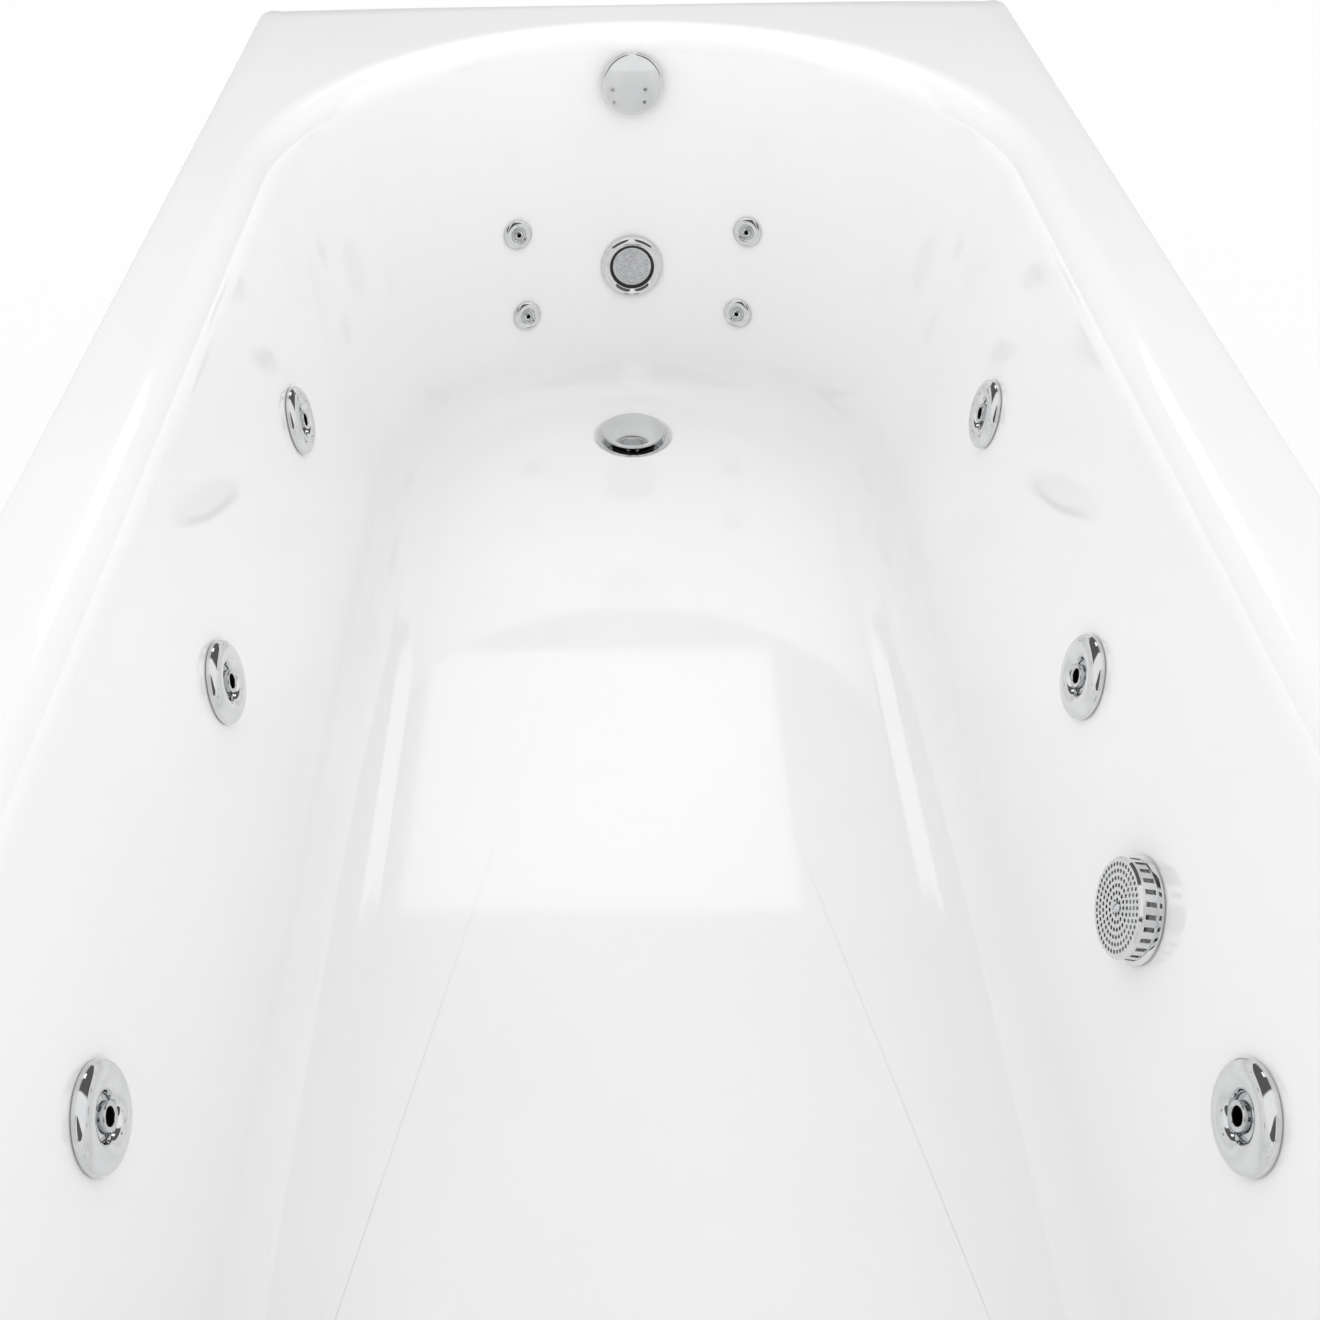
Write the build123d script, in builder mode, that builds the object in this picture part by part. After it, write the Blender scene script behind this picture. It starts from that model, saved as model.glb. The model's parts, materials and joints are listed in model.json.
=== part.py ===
from build123d import *
import os
from math import cos, pi, radians, sin, tan

# A jetted bathtub at its real size, in millimetres. X runs from the head end to the foot end,
# Y from the pump's intake side to the other long side, and Z up from the floor that it stands on.
# The origin is on that floor, under the middle of the rim.

os.makedirs("parts", exist_ok=True)

# The shell
length = 1800
width = 800
height = 590
basin_depth = 396
skin = 6
lip_depth = 40
outer_corner = 18

# The basin's walls, as straight lines carried up to the rim's plane
basin_half = 327
foot_x = 820
head_x = -810
side_draft = 10
foot_draft = 9
head_slope = 35
head_corner_top = 190
head_corner_floor = 150
rim_roll = 30
floor_roll = 55

# Where the fittings sit: distances along the bath, depths below the rim, turns round the foot end
jet_pitch = 335
jet_depth = 168
suction_x = -175
suction_depth = 200
light_depth = 249
overflow_depth = 52
micro_turn = 25.5
micro_depths = (200, 292)
back_micro_y = (126, 116)
back_micro_depths = (150, 240)
waste_x = 660
control_x = -850
control_y = 350

# The side jets
jet_hole = 22.5
jet_barrel = 22
jet_bore = 19
jet_flange = 27
jet_ring_radius = 29.6
ball_radius = 13.5
ball_height = -3
ball_play = 0.3
pipe_radius = 13
pipe_bore = 10.5
pipe_back = 32
pipe_lift = 8
spigot_reach = 44
air_reach = 36

# The legs
stud_radius = 6
stud_y = 262
cradle_xs = (-440, 60, 560)
cradle_half = 285
board_thick = 12
floor_under = height - basin_depth - skin
board_under = floor_under - board_thick
pad_socket = 8

# The pump: its shaft lies along Y under the backrest
pump_x = -690
pump_z = 130
outlet_x = pump_x + 45
outlet_y = -62
outlet_top = 240
header_z = 290
shaft_radius = 8
running_play = 0.05
tray_top = 43

side_tan = tan(radians(side_draft))
foot_tan = tan(radians(foot_draft))
head_tan = tan(radians(head_slope))


def half_width(depth):
    """Half the basin's width at a depth below the rim."""
    return basin_half - side_tan * depth


def foot_reach(depth):
    """X of the foot wall on the centre line at a depth."""
    return foot_x - foot_tan * depth


def head_reach(depth):
    """X of the backrest at a depth."""
    return head_x + head_tan * depth


def outline(depth, grow):
    """The basin's plan at a depth: a half round foot end, straight sides and a squarer head end."""
    half = half_width(depth) + grow / cos(radians(side_draft))
    foot = foot_reach(depth) + grow / cos(radians(foot_draft))
    head = head_reach(depth) - grow / cos(radians(head_slope))
    share = depth / basin_depth
    corner = head_corner_top + (head_corner_floor - head_corner_top) * share + grow
    centre = foot - half
    turn = corner * (1 - cos(radians(45)))
    with BuildSketch(Plane.XY.offset(height - depth)) as plan:
        with BuildLine():
            Line((head + corner, -half), (centre, -half))
            ThreePointArc((centre, -half), (foot, 0), (centre, half))
            Line((centre, half), (head + corner, half))
            ThreePointArc((head + corner, half), (head + turn, half - turn), (head, half - corner))
            Line((head, half - corner), (head, corner - half))
            ThreePointArc((head, corner - half), (head + turn, turn - half), (head + corner, -half))
        make_face()
    return plan.sketch


def side_plane(x, side, depth):
    """A fitting's plane on a side wall: Z points into the basin and Y up the wall."""
    normal = (0, -side * cos(radians(side_draft)), sin(radians(side_draft)))
    return Plane(origin=(x, side * half_width(depth), height - depth), x_dir=(side, 0, 0), z_dir=normal)


def foot_plane(turn, depth):
    """A fitting's plane on the round foot wall, at a turn in degrees from the centre line."""
    half = half_width(depth)
    centre = foot_reach(depth) - half
    c = cos(radians(turn))
    s = sin(radians(turn))
    normal = (-c, -s, side_tan - (side_tan - foot_tan) * c)
    return Plane(origin=(centre + half * c, half * s, height - depth), x_dir=(s, -c, 0), z_dir=normal)


def back_plane(y, depth):
    """A fitting's plane on the sloping backrest."""
    normal = (cos(radians(head_slope)), 0, sin(radians(head_slope)))
    return Plane(origin=(head_reach(depth), y, height - depth), x_dir=(0, 1, 0), z_dir=normal)


def along(plane, x, y, z):
    """A point given in a plane's own directions."""
    return plane.origin + plane.x_dir * x + plane.y_dir * y + plane.z_dir * z


def spigot_end(plane, way):
    """The end of a side jet's water spigot, towards the foot end (way 1) or the head end (way -1)."""
    return along(plane, way * plane.x_dir.X * spigot_reach, pipe_lift, -pipe_back)


def half_profile(plane):
    """The plane that a turned piece's half section is drawn on: X is radius, Y is height."""
    return Plane(origin=plane.origin, x_dir=plane.x_dir, z_dir=-plane.y_dir)


def spin(plane, points, mode=Mode.ADD):
    """Adds a turned piece: a closed half section of (radius, height) points, spun about the plane's Z."""
    with BuildSketch(half_profile(plane)) as section:
        with BuildLine():
            Polyline(*points, close=True)
        make_face()
    revolve(section.sketch, axis=Axis(plane.origin, plane.z_dir), mode=mode)


def tube(plane, inner, outer, low, high, mode=Mode.ADD):
    """Adds a plain ring or tube on the plane's Z, or a rod where the inner radius is 0."""
    spin(plane, [(inner, low), (outer, low), (outer, high), (inner, high)], mode)


def nut(plane, inner, across, low, high, sides=8):
    """Adds a flat sided clamp nut."""
    with BuildSketch(plane.offset(low)) as ring:
        RegularPolygon(radius=across / 2 / cos(pi / sides), side_count=sides)
        Circle(inner, mode=Mode.SUBTRACT)
    extrude(ring.sketch, amount=high - low)


def facing(origin, direction, x_dir=None):
    """A plane at a point, with its Z along a direction."""
    return Plane(origin=origin, x_dir=x_dir, z_dir=direction)


def pipe(points, radii, outer, inner):
    """Adds a pipe of straight runs and round bends through the points."""
    start = Vector(*points[0])
    heading = Vector(*points[1]) - start
    with BuildLine() as route:
        FilletPolyline(*points, radius=radii)
    with BuildSketch(Plane(origin=start, z_dir=heading)) as section:
        Circle(outer)
        if inner:
            Circle(inner, mode=Mode.SUBTRACT)
    sweep(section.sketch, path=route.wires()[0])


def straight_pipe(start, end, outer, inner):
    """Adds one straight pipe between two points."""
    heading = Vector(*end) - Vector(*start)
    tube(facing(start, heading), inner, outer, 0, heading.length)


# The fittings' planes
jets = [side_plane(k * jet_pitch, side, jet_depth) for side in (1, -1) for k in (1, 0, -1)]
foot_micros = [foot_plane(side * micro_turn, depth) for side in (1, -1) for depth in micro_depths]
back_micros = [
    back_plane(side * y, depth) for side in (1, -1) for y, depth in zip(back_micro_y, back_micro_depths)
]
micros = foot_micros + back_micros
suction = side_plane(suction_x, -1, suction_depth)
light = foot_plane(0, light_depth)
overflow = foot_plane(0, overflow_depth)
waste = Plane.XY.offset(height - basin_depth).move(Location((waste_x, 0, 0)))
controls = [Plane(origin=(control_x, side * control_y, height)) for side in (-1, 1)]

# Bath shell: one vacuum formed acrylic skin, with a turned down lip and a dish round the waste
micro_hole = 10.5
suction_hole = 22.5
light_hole = 29
overflow_hole = 22.5
waste_hole = 26
control_hole = 16.5
dish_radius = 45
dish_floor_radius = 38
dish_depth = 7
dish_boss = 50
boss_bottom = -14
inset = 20

with BuildPart() as basin_void:
    loft([outline(0, 0), outline(basin_depth, 0)], ruled=True)
    with BuildSketch(Plane.XY.offset(height)):
        Rectangle(length + 40, width + 40)
    extrude(amount=20)
    rim_edges = basin_void.edges().filter_by(lambda e: abs(e.center().Z - height) < 0.01)
    opening = rim_edges.filter_by(lambda e: abs(e.center().Y) < width / 2 and abs(e.center().X) < length / 2)
    fillet(opening, rim_roll)
    fillet(basin_void.edges().group_by(Axis.Z)[0], floor_roll)

with BuildPart() as bath_shell:
    loft([outline(0, skin), outline(basin_depth + skin, skin)], ruled=True)
    with BuildSketch(Plane.XY.offset(height)):
        RectangleRounded(length, width, outer_corner)
    extrude(amount=-skin)
    under_edges = bath_shell.edges().filter_by(lambda e: abs(e.center().Z - height + skin) < 0.01)
    inner_edges = under_edges.filter_by(
        lambda e: abs(e.center().Y) < width / 2 - inset and abs(e.center().X) < length / 2 - inset)
    fillet(inner_edges, rim_roll - skin)
    fillet(bath_shell.edges().group_by(Axis.Z)[0], floor_roll + skin)
    with BuildSketch(Plane.XY.offset(height)):
        RectangleRounded(length, width, outer_corner)
        RectangleRounded(length - 2 * skin, width - 2 * skin, outer_corner - skin, mode=Mode.SUBTRACT)
    extrude(amount=-lip_depth)
    tube(waste, 0, dish_boss, boss_bottom, -skin / 2)
    add(basin_void.part, mode=Mode.SUBTRACT)
    dish = [(0, 1), (dish_radius, 1), (dish_radius, 0), (dish_floor_radius, -dish_depth), (0, -dish_depth)]
    spin(waste, dish, Mode.SUBTRACT)
    for plane in jets:
        tube(plane, 0, jet_hole, -4 * skin, 4 * skin, Mode.SUBTRACT)
    for plane in micros:
        tube(plane, 0, micro_hole, -4 * skin, 4 * skin, Mode.SUBTRACT)
    tube(suction, 0, suction_hole, -4 * skin, 4 * skin, Mode.SUBTRACT)
    tube(light, 0, light_hole, -4 * skin, 4 * skin, Mode.SUBTRACT)
    tube(overflow, 0, overflow_hole, -3 * skin, 3 * skin, Mode.SUBTRACT)
    tube(waste, 0, waste_hole, -4 * skin, 0, Mode.SUBTRACT)
    for plane in controls:
        tube(plane, 0, control_hole, -2 * skin, skin, Mode.SUBTRACT)
bath_shell.part.label = "bath_shell"
export_step(bath_shell.part, "parts/bath_shell.step")

# Base board and rim battens: moisture proofed board bonded under the floor and under the rim
board_ends = (-480, 600)
board_half = 195
screw_y = 120
batten_width = 28
batten_height = 20
batten_y = width / 2 - skin - batten_width / 2
batten_z = height - skin - batten_height / 2

with BuildPart() as base_board:
    with BuildSketch(Plane.XY.offset(board_under)):
        with Locations((sum(board_ends) / 2, 0)):
            Rectangle(board_ends[1] - board_ends[0], 2 * board_half)
        with Locations(*[(x, y) for x in cradle_xs for y in (-screw_y, screw_y)]):
            Circle(2, mode=Mode.SUBTRACT)
    extrude(amount=board_thick)
base_board.part.label = "base_board"
export_step(base_board.part, "parts/base_board.step")

with BuildPart() as rim_battens:
    with Locations((30, batten_y, batten_z), (30, -batten_y, batten_z)):
        Box(1620, batten_width, batten_height)
    with Locations((878, 0, batten_z)):
        Box(2 * (length / 2 - skin - 878), 2 * (batten_y - batten_width / 2), batten_height)
    with Locations((-870, 0, batten_z)):
        Box(2 * (length / 2 - skin - 870), 560, batten_height)
rim_battens.part.label = "rim_battens"
export_step(rim_battens.part, "parts/rim_battens.step")

# Leg cradles: pressed steel channels across the board, open downwards
channel_width = 40
channel_height = 25
channel_wall = 2.5
cradle_under = board_under - channel_height
web_under = board_under - channel_wall

with BuildPart() as leg_cradles:
    for x in cradle_xs:
        with BuildSketch(Plane(origin=(x, -cradle_half, cradle_under), x_dir=(1, 0, 0), z_dir=(0, -1, 0))):
            with Locations((0, channel_height / 2)):
                Rectangle(channel_width, channel_height)
            with Locations((0, (channel_height - channel_wall) / 2)):
                inside = channel_width - 2 * channel_wall
                Rectangle(inside, channel_height - channel_wall, mode=Mode.SUBTRACT)
        extrude(amount=-2 * cradle_half)
        with BuildSketch(Plane.XY.offset(board_under)):
            with Locations((x, stud_y), (x, -stud_y)):
                Circle(stud_radius + 0.5)
            with Locations((x, screw_y), (x, -screw_y)):
                Circle(2.2)
        extrude(amount=-channel_wall, mode=Mode.SUBTRACT)
leg_cradles.part.label = "leg_cradles"
export_step(leg_cradles.part, "parts/leg_cradles.step")

# Feet: threaded studs in rubber soled pads, set by a nut on each side of the channel's web, and the
# screws that hold the cradles to the board
leg_spots = [(x, y) for x in cradle_xs for y in (-stud_y, stud_y)]
tray_spots = [(-805, y) for y in (-120, 120)]
stud_top = board_under + 14
tray_stud_top = tray_top + 16
nut_height = 10
tray_skin = 3

with BuildPart() as foot_studs:
    for x, y in leg_spots:
        tube(Plane(origin=(x, y, 0)), 0, stud_radius, pad_socket, stud_top)
    for x, y in tray_spots:
        tube(Plane(origin=(x, y, 0)), 0, stud_radius, pad_socket, tray_stud_top)
foot_studs.part.label = "foot_studs"
export_step(foot_studs.part, "parts/foot_studs.step")

with BuildPart() as leg_fasteners:
    for x in cradle_xs:
        for y in (-screw_y, screw_y):
            screw = [(0, -3), (4.5, -3), (4.5, 0), (1.9, 0), (1.9, 9), (0, 11)]
            spin(Plane(origin=(x, y, web_under)), screw)
    for x, y in leg_spots:
        for low in (web_under - nut_height, board_under):
            nut(Plane(origin=(x, y, 0)), stud_radius + running_play, 19, low, low + nut_height, 6)
    for x, y in tray_spots:
        for low in (tray_top - tray_skin - nut_height, tray_top):
            nut(Plane(origin=(x, y, 0)), stud_radius + running_play, 19, low, low + nut_height, 6)
leg_fasteners.part.label = "leg_fasteners"
export_step(leg_fasteners.part, "parts/leg_fasteners.step")

with BuildPart() as foot_pads:
    for x, y in leg_spots + tray_spots:
        hole = stud_radius + running_play
        profile = [(0, 0), (26, 0), (28, 2), (28, 7), (14, 12), (12, 20), (hole, 20), (hole, pad_socket)]
        spin(Plane(origin=(x, y, 0)), profile + [(0, pad_socket)])
foot_pads.part.label = "foot_pads"
export_step(foot_pads.part, "parts/foot_pads.step")

# Side jet bodies: a cup through the wall, with two water spigots in line and one for air
air_radius = 5.5
air_bore = 3.5
cup_back = -46

with BuildPart() as jet_bodies:
    for plane in jets:
        x_dir = plane.x_dir
        tube(plane, 0, jet_barrel, cup_back, 1)
        tube(plane, 0, jet_flange, 1, 3)
        side_pipe = facing(along(plane, -spigot_reach, pipe_lift, -pipe_back), x_dir)
        tube(side_pipe, 0, pipe_radius, 0, 2 * spigot_reach)
        riser = facing(along(plane, 0, 0, -pipe_back + 2), plane.y_dir)
        tube(riser, 0, air_radius, 0, air_reach)
        tube(plane, 0, jet_bore, cup_back + 4, 4, Mode.SUBTRACT)
        tube(side_pipe, 0, pipe_bore, -1, 2 * spigot_reach + 1, Mode.SUBTRACT)
        tube(riser, 0, air_bore, 0, air_reach + 1, Mode.SUBTRACT)
jet_bodies.part.label = "jet_bodies"
export_step(jet_bodies.part, "parts/jet_bodies.step")

# Chrome jet rings: each turns in its body to open and close the water, and holds the nozzle's ball
seat_radius = ball_radius + ball_play
lip_radius = 12.2
lip_height = ball_height + (seat_radius ** 2 - lip_radius ** 2) ** 0.5
back_radius = 12.8
back_height = ball_height - (seat_radius ** 2 - back_radius ** 2) ** 0.5
ring_skirt = 18.95

for number, plane in enumerate(jets, 1):
    with BuildPart() as jet_ring:
        with BuildSketch(half_profile(plane)):
            with BuildLine():
                Line((back_radius, -20), (ring_skirt, -20))
                Line((ring_skirt, -20), (ring_skirt, 3.3))
                Line((ring_skirt, 3.3), (27.4, 3.3))
                Line((27.4, 3.3), (27.4, 0.8))
                Line((27.4, 0.8), (jet_ring_radius, 0.8))
                Line((jet_ring_radius, 0.8), (jet_ring_radius, 2.4))
                ThreePointArc((jet_ring_radius, 2.4), (27, 6.6), (21.5, 8.6))
                ThreePointArc((21.5, 8.6), (17, 8.2), (14.6, 6.2))
                Line((14.6, 6.2), (lip_radius, lip_height))
                seat = (seat_radius, ball_height)
                ThreePointArc((lip_radius, lip_height), seat, (back_radius, back_height))
                Line((back_radius, back_height), (back_radius, -20))
            make_face()
        revolve(axis=Axis(plane.origin, plane.z_dir))
        for k in range(3):
            c = cos(2 * pi * k / 3)
            s = sin(2 * pi * k / 3)
            port = facing(along(plane, 0, 0, -15), plane.x_dir * c + plane.y_dir * s)
            tube(port, 0, 3.5, 10, 22, Mode.SUBTRACT)
    jet_ring.part.label = f"jet_ring_{number}"
    export_step(jet_ring.part, f"parts/jet_ring_{number}.step")

    # Swivel nozzle: a ball with a short snout and a bore
    with BuildPart() as jet_nozzle:
        front = (ball_radius ** 2 - 12.33 ** 2) ** 0.5
        rear = (ball_radius ** 2 - 10.9 ** 2) ** 0.5
        with BuildSketch(half_profile(plane)):
            with BuildLine():
                Line((5.2, ball_height - rear), (10.9, ball_height - rear))
                belly = (ball_radius, ball_height)
                ThreePointArc((10.9, ball_height - rear), belly, (12.33, ball_height + front))
                Line((12.33, ball_height + front), (8, ball_height + 6.5))
                Line((8, ball_height + 6.5), (8, ball_height + 10.5))
                Line((8, ball_height + 10.5), (7, ball_height + 11.5))
                Line((7, ball_height + 11.5), (5.2, ball_height + 10.8))
                Line((5.2, ball_height + 10.8), (5.2, ball_height - rear))
            make_face()
        revolve(axis=Axis(plane.origin, plane.z_dir))
    jet_nozzle.part.label = f"jet_nozzle_{number}"
    export_step(jet_nozzle.part, f"parts/jet_nozzle_{number}.step")

# Micro jets: a small cup with a chrome disc pressed on and a fixed nozzle in the middle
micro_back = -30
micro_pipe_back = -22
micro_reach = 24
small_radius = 6
small_bore = 4

with BuildPart() as micro_bodies:
    for plane in micros:
        tube(plane, 0, 10, micro_back, 1)
        tube(plane, 0, 13, 1, 2.4)
        lower = plane in (foot_micros[1], foot_micros[3])
        upper = plane in (back_micros[0], back_micros[2])
        low = 0 if lower else -micro_reach
        high = 0 if upper else micro_reach
        spigot = facing(along(plane, 0, 0, micro_pipe_back), plane.y_dir)
        tube(spigot, 0, small_radius, low, high)
        tube(plane, 0, 7, micro_back + 2, 3, Mode.SUBTRACT)
        tube(spigot, 0, small_bore, low - (low < 0), high + (high > 0), Mode.SUBTRACT)
micro_bodies.part.label = "micro_bodies"
export_step(micro_bodies.part, "parts/micro_bodies.step")

with BuildPart() as micro_rims:
    for plane in micros:
        spin(plane, [(6.2, -6), (6.9, -6), (6.9, 2.5), (13.2, 2.5), (13.2, 1.3), (16.2, 1.3), (16.2, 2.2),
                     (14.6, 4), (11.5, 5), (9, 5), (7.4, 3.4), (6.2, 3.4)])
micro_rims.part.label = "micro_rims"
export_step(micro_rims.part, "parts/micro_rims.step")

with BuildPart() as micro_nozzles:
    for plane in micros:
        spin(plane, [(2.2, -5), (6.2, -5), (6.2, 3), (4.4, 5.4), (3, 5.8), (2.2, 5)])
micro_nozzles.part.label = "micro_nozzles"
export_step(micro_nozzles.part, "parts/micro_nozzles.step")

# Suction fitting: an elbow behind the wall and a screwed on perforated cap
elbow_back = 36
elbow_reach = 50
elbow_radius = 20
elbow_bore = 17
cap_radius = 31
cap_face = 14.5
cap_skin = 1.6
hole_rings = ((4.6, 8), (9, 15), (13.4, 22), (17.8, 29), (22.2, 36), (26.4, 43))
slot_count = 26
cap_hole = 1.3
slot_middle = 8
slot_length = 6.5
slot_width = 3
elbow = facing(along(suction, 0, 0, -elbow_back), -suction.y_dir, suction.x_dir)

with BuildPart() as suction_body:
    tube(suction, 0, jet_barrel, -elbow_back - 22, 1)
    tube(suction, 0, jet_flange, 1, 3)
    tube(elbow, 0, elbow_radius, 0, elbow_reach)
    tube(suction, 0, jet_bore, -elbow_back - 18, 4, Mode.SUBTRACT)
    tube(elbow, 0, elbow_bore, 0, elbow_reach + 1, Mode.SUBTRACT)
    with BuildSketch(suction.offset(-8)):
        Rectangle(8, 2 * jet_bore + 2)
    extrude(amount=8)
    tube(suction, 0, 2.05, -9, 1, Mode.SUBTRACT)
suction_body.part.label = "suction_body"
export_step(suction_body.part, "parts/suction_body.step")

with BuildPart() as suction_cover:
    inner = cap_radius - cap_skin
    under = cap_face - cap_skin
    spin(suction, [(inner, 1.2), (inner, under), (0, under), (0, cap_face), (cap_radius - 1.5, cap_face),
                   (cap_radius, cap_face - 1.5), (cap_radius, 3.5), (33.5, 2.6), (33.5, 1.2)])
    with BuildSketch(suction.offset(cap_face - 2 * cap_skin)):
        Circle(2.05)
        for radius, count in hole_rings:
            with PolarLocations(radius, count):
                Circle(cap_hole)
    extrude(amount=3 * cap_skin, mode=Mode.SUBTRACT)
    for k in range(slot_count):
        c = cos(2 * pi * k / slot_count)
        s = sin(2 * pi * k / slot_count)
        outwards = suction.x_dir * c + suction.y_dir * s
        middle = along(suction, 0, 0, slot_middle)
        with BuildSketch(Plane(origin=middle, x_dir=suction.z_dir, z_dir=outwards)):
            Rectangle(slot_length, slot_width)
        extrude(amount=cap_radius + 5, mode=Mode.SUBTRACT)
suction_cover.part.label = "suction_cover"
export_step(suction_cover.part, "parts/suction_cover.step")

with BuildPart() as suction_screw:
    spin(suction, [(0, -6), (1.95, -6), (1.95, cap_face), (3.8, cap_face), (3.4, cap_face + 1.4),
                   (0, cap_face + 1.8)])
    with BuildSketch(suction.offset(cap_face + 1)):
        Rectangle(0.9, 9)
    extrude(amount=2, mode=Mode.SUBTRACT)
suction_screw.part.label = "suction_screw"
export_step(suction_screw.part, "parts/suction_screw.step")

# Underwater light: a closed cup through the foot wall, a chrome bezel and a prismatic lens
light_barrel = 28.5
light_back = -38

with BuildPart() as light_housing:
    tube(light, 0, light_barrel, light_back, 2.4)
    tube(light, 0, 32, 2.4, 4)
    tube(light, 0, 10, light_back - 8, light_back)
    tube(light, 0, 26, light_back + 3, 5, Mode.SUBTRACT)
    tube(light, 0, 3, light_back - 9, light_back + 4, Mode.SUBTRACT)
light_housing.part.label = "light_housing"
export_step(light_housing.part, "parts/light_housing.step")

with BuildPart() as light_bezel:
    spin(light, [(25.8, 4.1), (32.2, 4.1), (32.2, 2.6), (34.4, 2.6), (34.4, 3.6), (32.4, 7), (29.6, 8.4),
                 (27.4, 8), (25.8, 6)])
light_bezel.part.label = "light_bezel"
export_step(light_bezel.part, "parts/light_bezel.step")

with BuildPart() as light_lens:
    spin(light, [(0, -3), (25.9, -3), (25.9, -1), (24, -1), (24, 3.4), (22.5, 4.6), (12, 5.6), (0, 6)])
light_lens.part.label = "light_lens"
export_step(light_lens.part, "parts/light_lens.step")

# Overflow: an elbow behind the wall, and the turned knob that covers it and works the plug
overflow_back = 36
overflow_end = -58
overflow_exit = 24
overflow_turn = (0, 0.64, -0.77)
knob_radius = 31.6
knob_back = 7
knob_face = 16
knob_shaft = 6
hub_radius = 10
overflow_outlet = facing(along(overflow, 0, 0, -overflow_back), overflow_turn)

with BuildPart() as overflow_body:
    tube(overflow, 0, jet_barrel, overflow_end, 1.2)
    tube(overflow, 0, 25, 1.2, 3)
    tube(overflow_outlet, 0, 19, 0, overflow_exit + 14)
    tube(overflow, 0, jet_bore, overflow_end + 4, 4, Mode.SUBTRACT)
    tube(overflow_outlet, 0, 16, 0, overflow_exit + 15, Mode.SUBTRACT)
    tube(overflow, 0, hub_radius, overflow_end + 4, -2)
    for k in range(3):
        c = cos(2 * pi * k / 3 + pi / 2)
        s = sin(2 * pi * k / 3 + pi / 2)
        outwards = overflow.x_dir * c + overflow.y_dir * s
        with BuildSketch(Plane(origin=along(overflow, 0, 0, -8), x_dir=overflow.z_dir, z_dir=outwards)):
            Rectangle(12, 3)
        extrude(amount=jet_bore + 1)
    tube(overflow, 0, knob_shaft + running_play, -36, -1, Mode.SUBTRACT)
overflow_body.part.label = "overflow_body"
export_step(overflow_body.part, "parts/overflow_body.step")

with BuildPart() as overflow_knob:
    spin(overflow, [(0, -32), (knob_shaft, -32), (knob_shaft, knob_back), (knob_radius - 2, knob_back),
                    (knob_radius, knob_back + 2), (knob_radius, knob_face - 2.4),
                    (knob_radius - 1.6, knob_face - 0.6), (knob_radius - 3.4, knob_face), (0, knob_face)])
overflow_knob.part.label = "overflow_knob"
export_step(overflow_knob.part, "parts/overflow_knob.step")

# Waste: a chrome flange in the dish, a body clamped under the floor, and the pop-up plug
cup_top = boss_bottom - 4
cup_bottom = -80
side_inlet = -48
side_inlet_reach = 55
plug_radius = 34.3
plug_top = 9
plug_thick = 6
plug_under = plug_top - plug_thick
stem_radius = 4

with BuildPart() as waste_flange:
    spin(waste, [(21.5, -54), (25.5, -54), (25.5, -dish_depth), (36, -dish_depth), (36, -5.2), (35.2, -4.5),
                 (26.5, -4.8), (23, -9), (21.5, -14)])
    tube(waste, 0, 7.5, -34, -22)
    for k in range(3):
        with BuildSketch(Plane(origin=along(waste, 0, 0, -28), x_dir=(0, 0, 1),
                               z_dir=(cos(2 * pi * k / 3), sin(2 * pi * k / 3), 0))):
            Rectangle(12, 3)
        extrude(amount=22)
    tube(waste, 0, stem_radius + running_play, -60, 0, Mode.SUBTRACT)
waste_flange.part.label = "waste_flange"
export_step(waste_flange.part, "parts/waste_flange.step")

with BuildPart() as waste_body:
    inlet = facing(along(waste, 0, 0, side_inlet), (1, 0, 0))
    tube(waste, 0, 34, cup_bottom, cup_top)
    tube(inlet, 0, 19, 0, side_inlet_reach)
    tube(waste, 0, 20, cup_bottom - 18, cup_bottom)
    tube(waste, 0, 25.6, cup_bottom + 4, cup_top + 1, Mode.SUBTRACT)
    tube(inlet, 0, 16, 0, side_inlet_reach + 1, Mode.SUBTRACT)
    tube(waste, 0, 17, cup_bottom - 19, cup_bottom + 5, Mode.SUBTRACT)
waste_body.part.label = "waste_body"
export_step(waste_body.part, "parts/waste_body.step")

with BuildPart() as waste_plug:
    spin(waste, [(0, -50), (stem_radius, -50), (stem_radius, plug_under), (plug_radius - 0.6, plug_under),
                 (plug_radius, plug_under + 0.6), (plug_radius, plug_top - 1.6),
                 (plug_radius - 1.4, plug_top - 0.5), (0, plug_top)])
waste_plug.part.label = "waste_plug"
export_step(waste_plug.part, "parts/waste_plug.step")

with BuildPart() as plug_seal:
    tube(waste, stem_radius, 23.6, plug_under - 3.8, plug_under)
plug_seal.part.label = "plug_seal"
export_step(plug_seal.part, "parts/plug_seal.step")

trap_top = height - basin_depth + cup_bottom - 18
trap_low = 45
trap_high = 100
trap_side = 80
trap_out = 150

with BuildPart() as waste_trap:
    pipe([(waste_x, 0, trap_top), (waste_x, 0, trap_low), (waste_x, trap_side, trap_low),
          (waste_x, trap_side, trap_high), (waste_x, trap_out, trap_high)], [30, 30, 24], 20, 17)
waste_trap.part.label = "waste_trap"
export_step(waste_trap.part, "parts/waste_trap.step")

with BuildPart() as overflow_pipe:
    exit_point = along(overflow_outlet, 0, 0, overflow_exit + 14)
    corner = along(overflow_outlet, 0, 0, overflow_exit + 80)
    inlet_z = height - basin_depth + side_inlet
    route_x = exit_point.X
    pipe([exit_point, corner, (route_x, corner.Y, inlet_z + 60), (route_x - 40, 0, inlet_z),
          (waste_x + side_inlet_reach, 0, inlet_z)], [40, 40, 25], 19, 16)
overflow_pipe.part.label = "overflow_pipe"
export_step(overflow_pipe.part, "parts/overflow_pipe.step")

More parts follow.
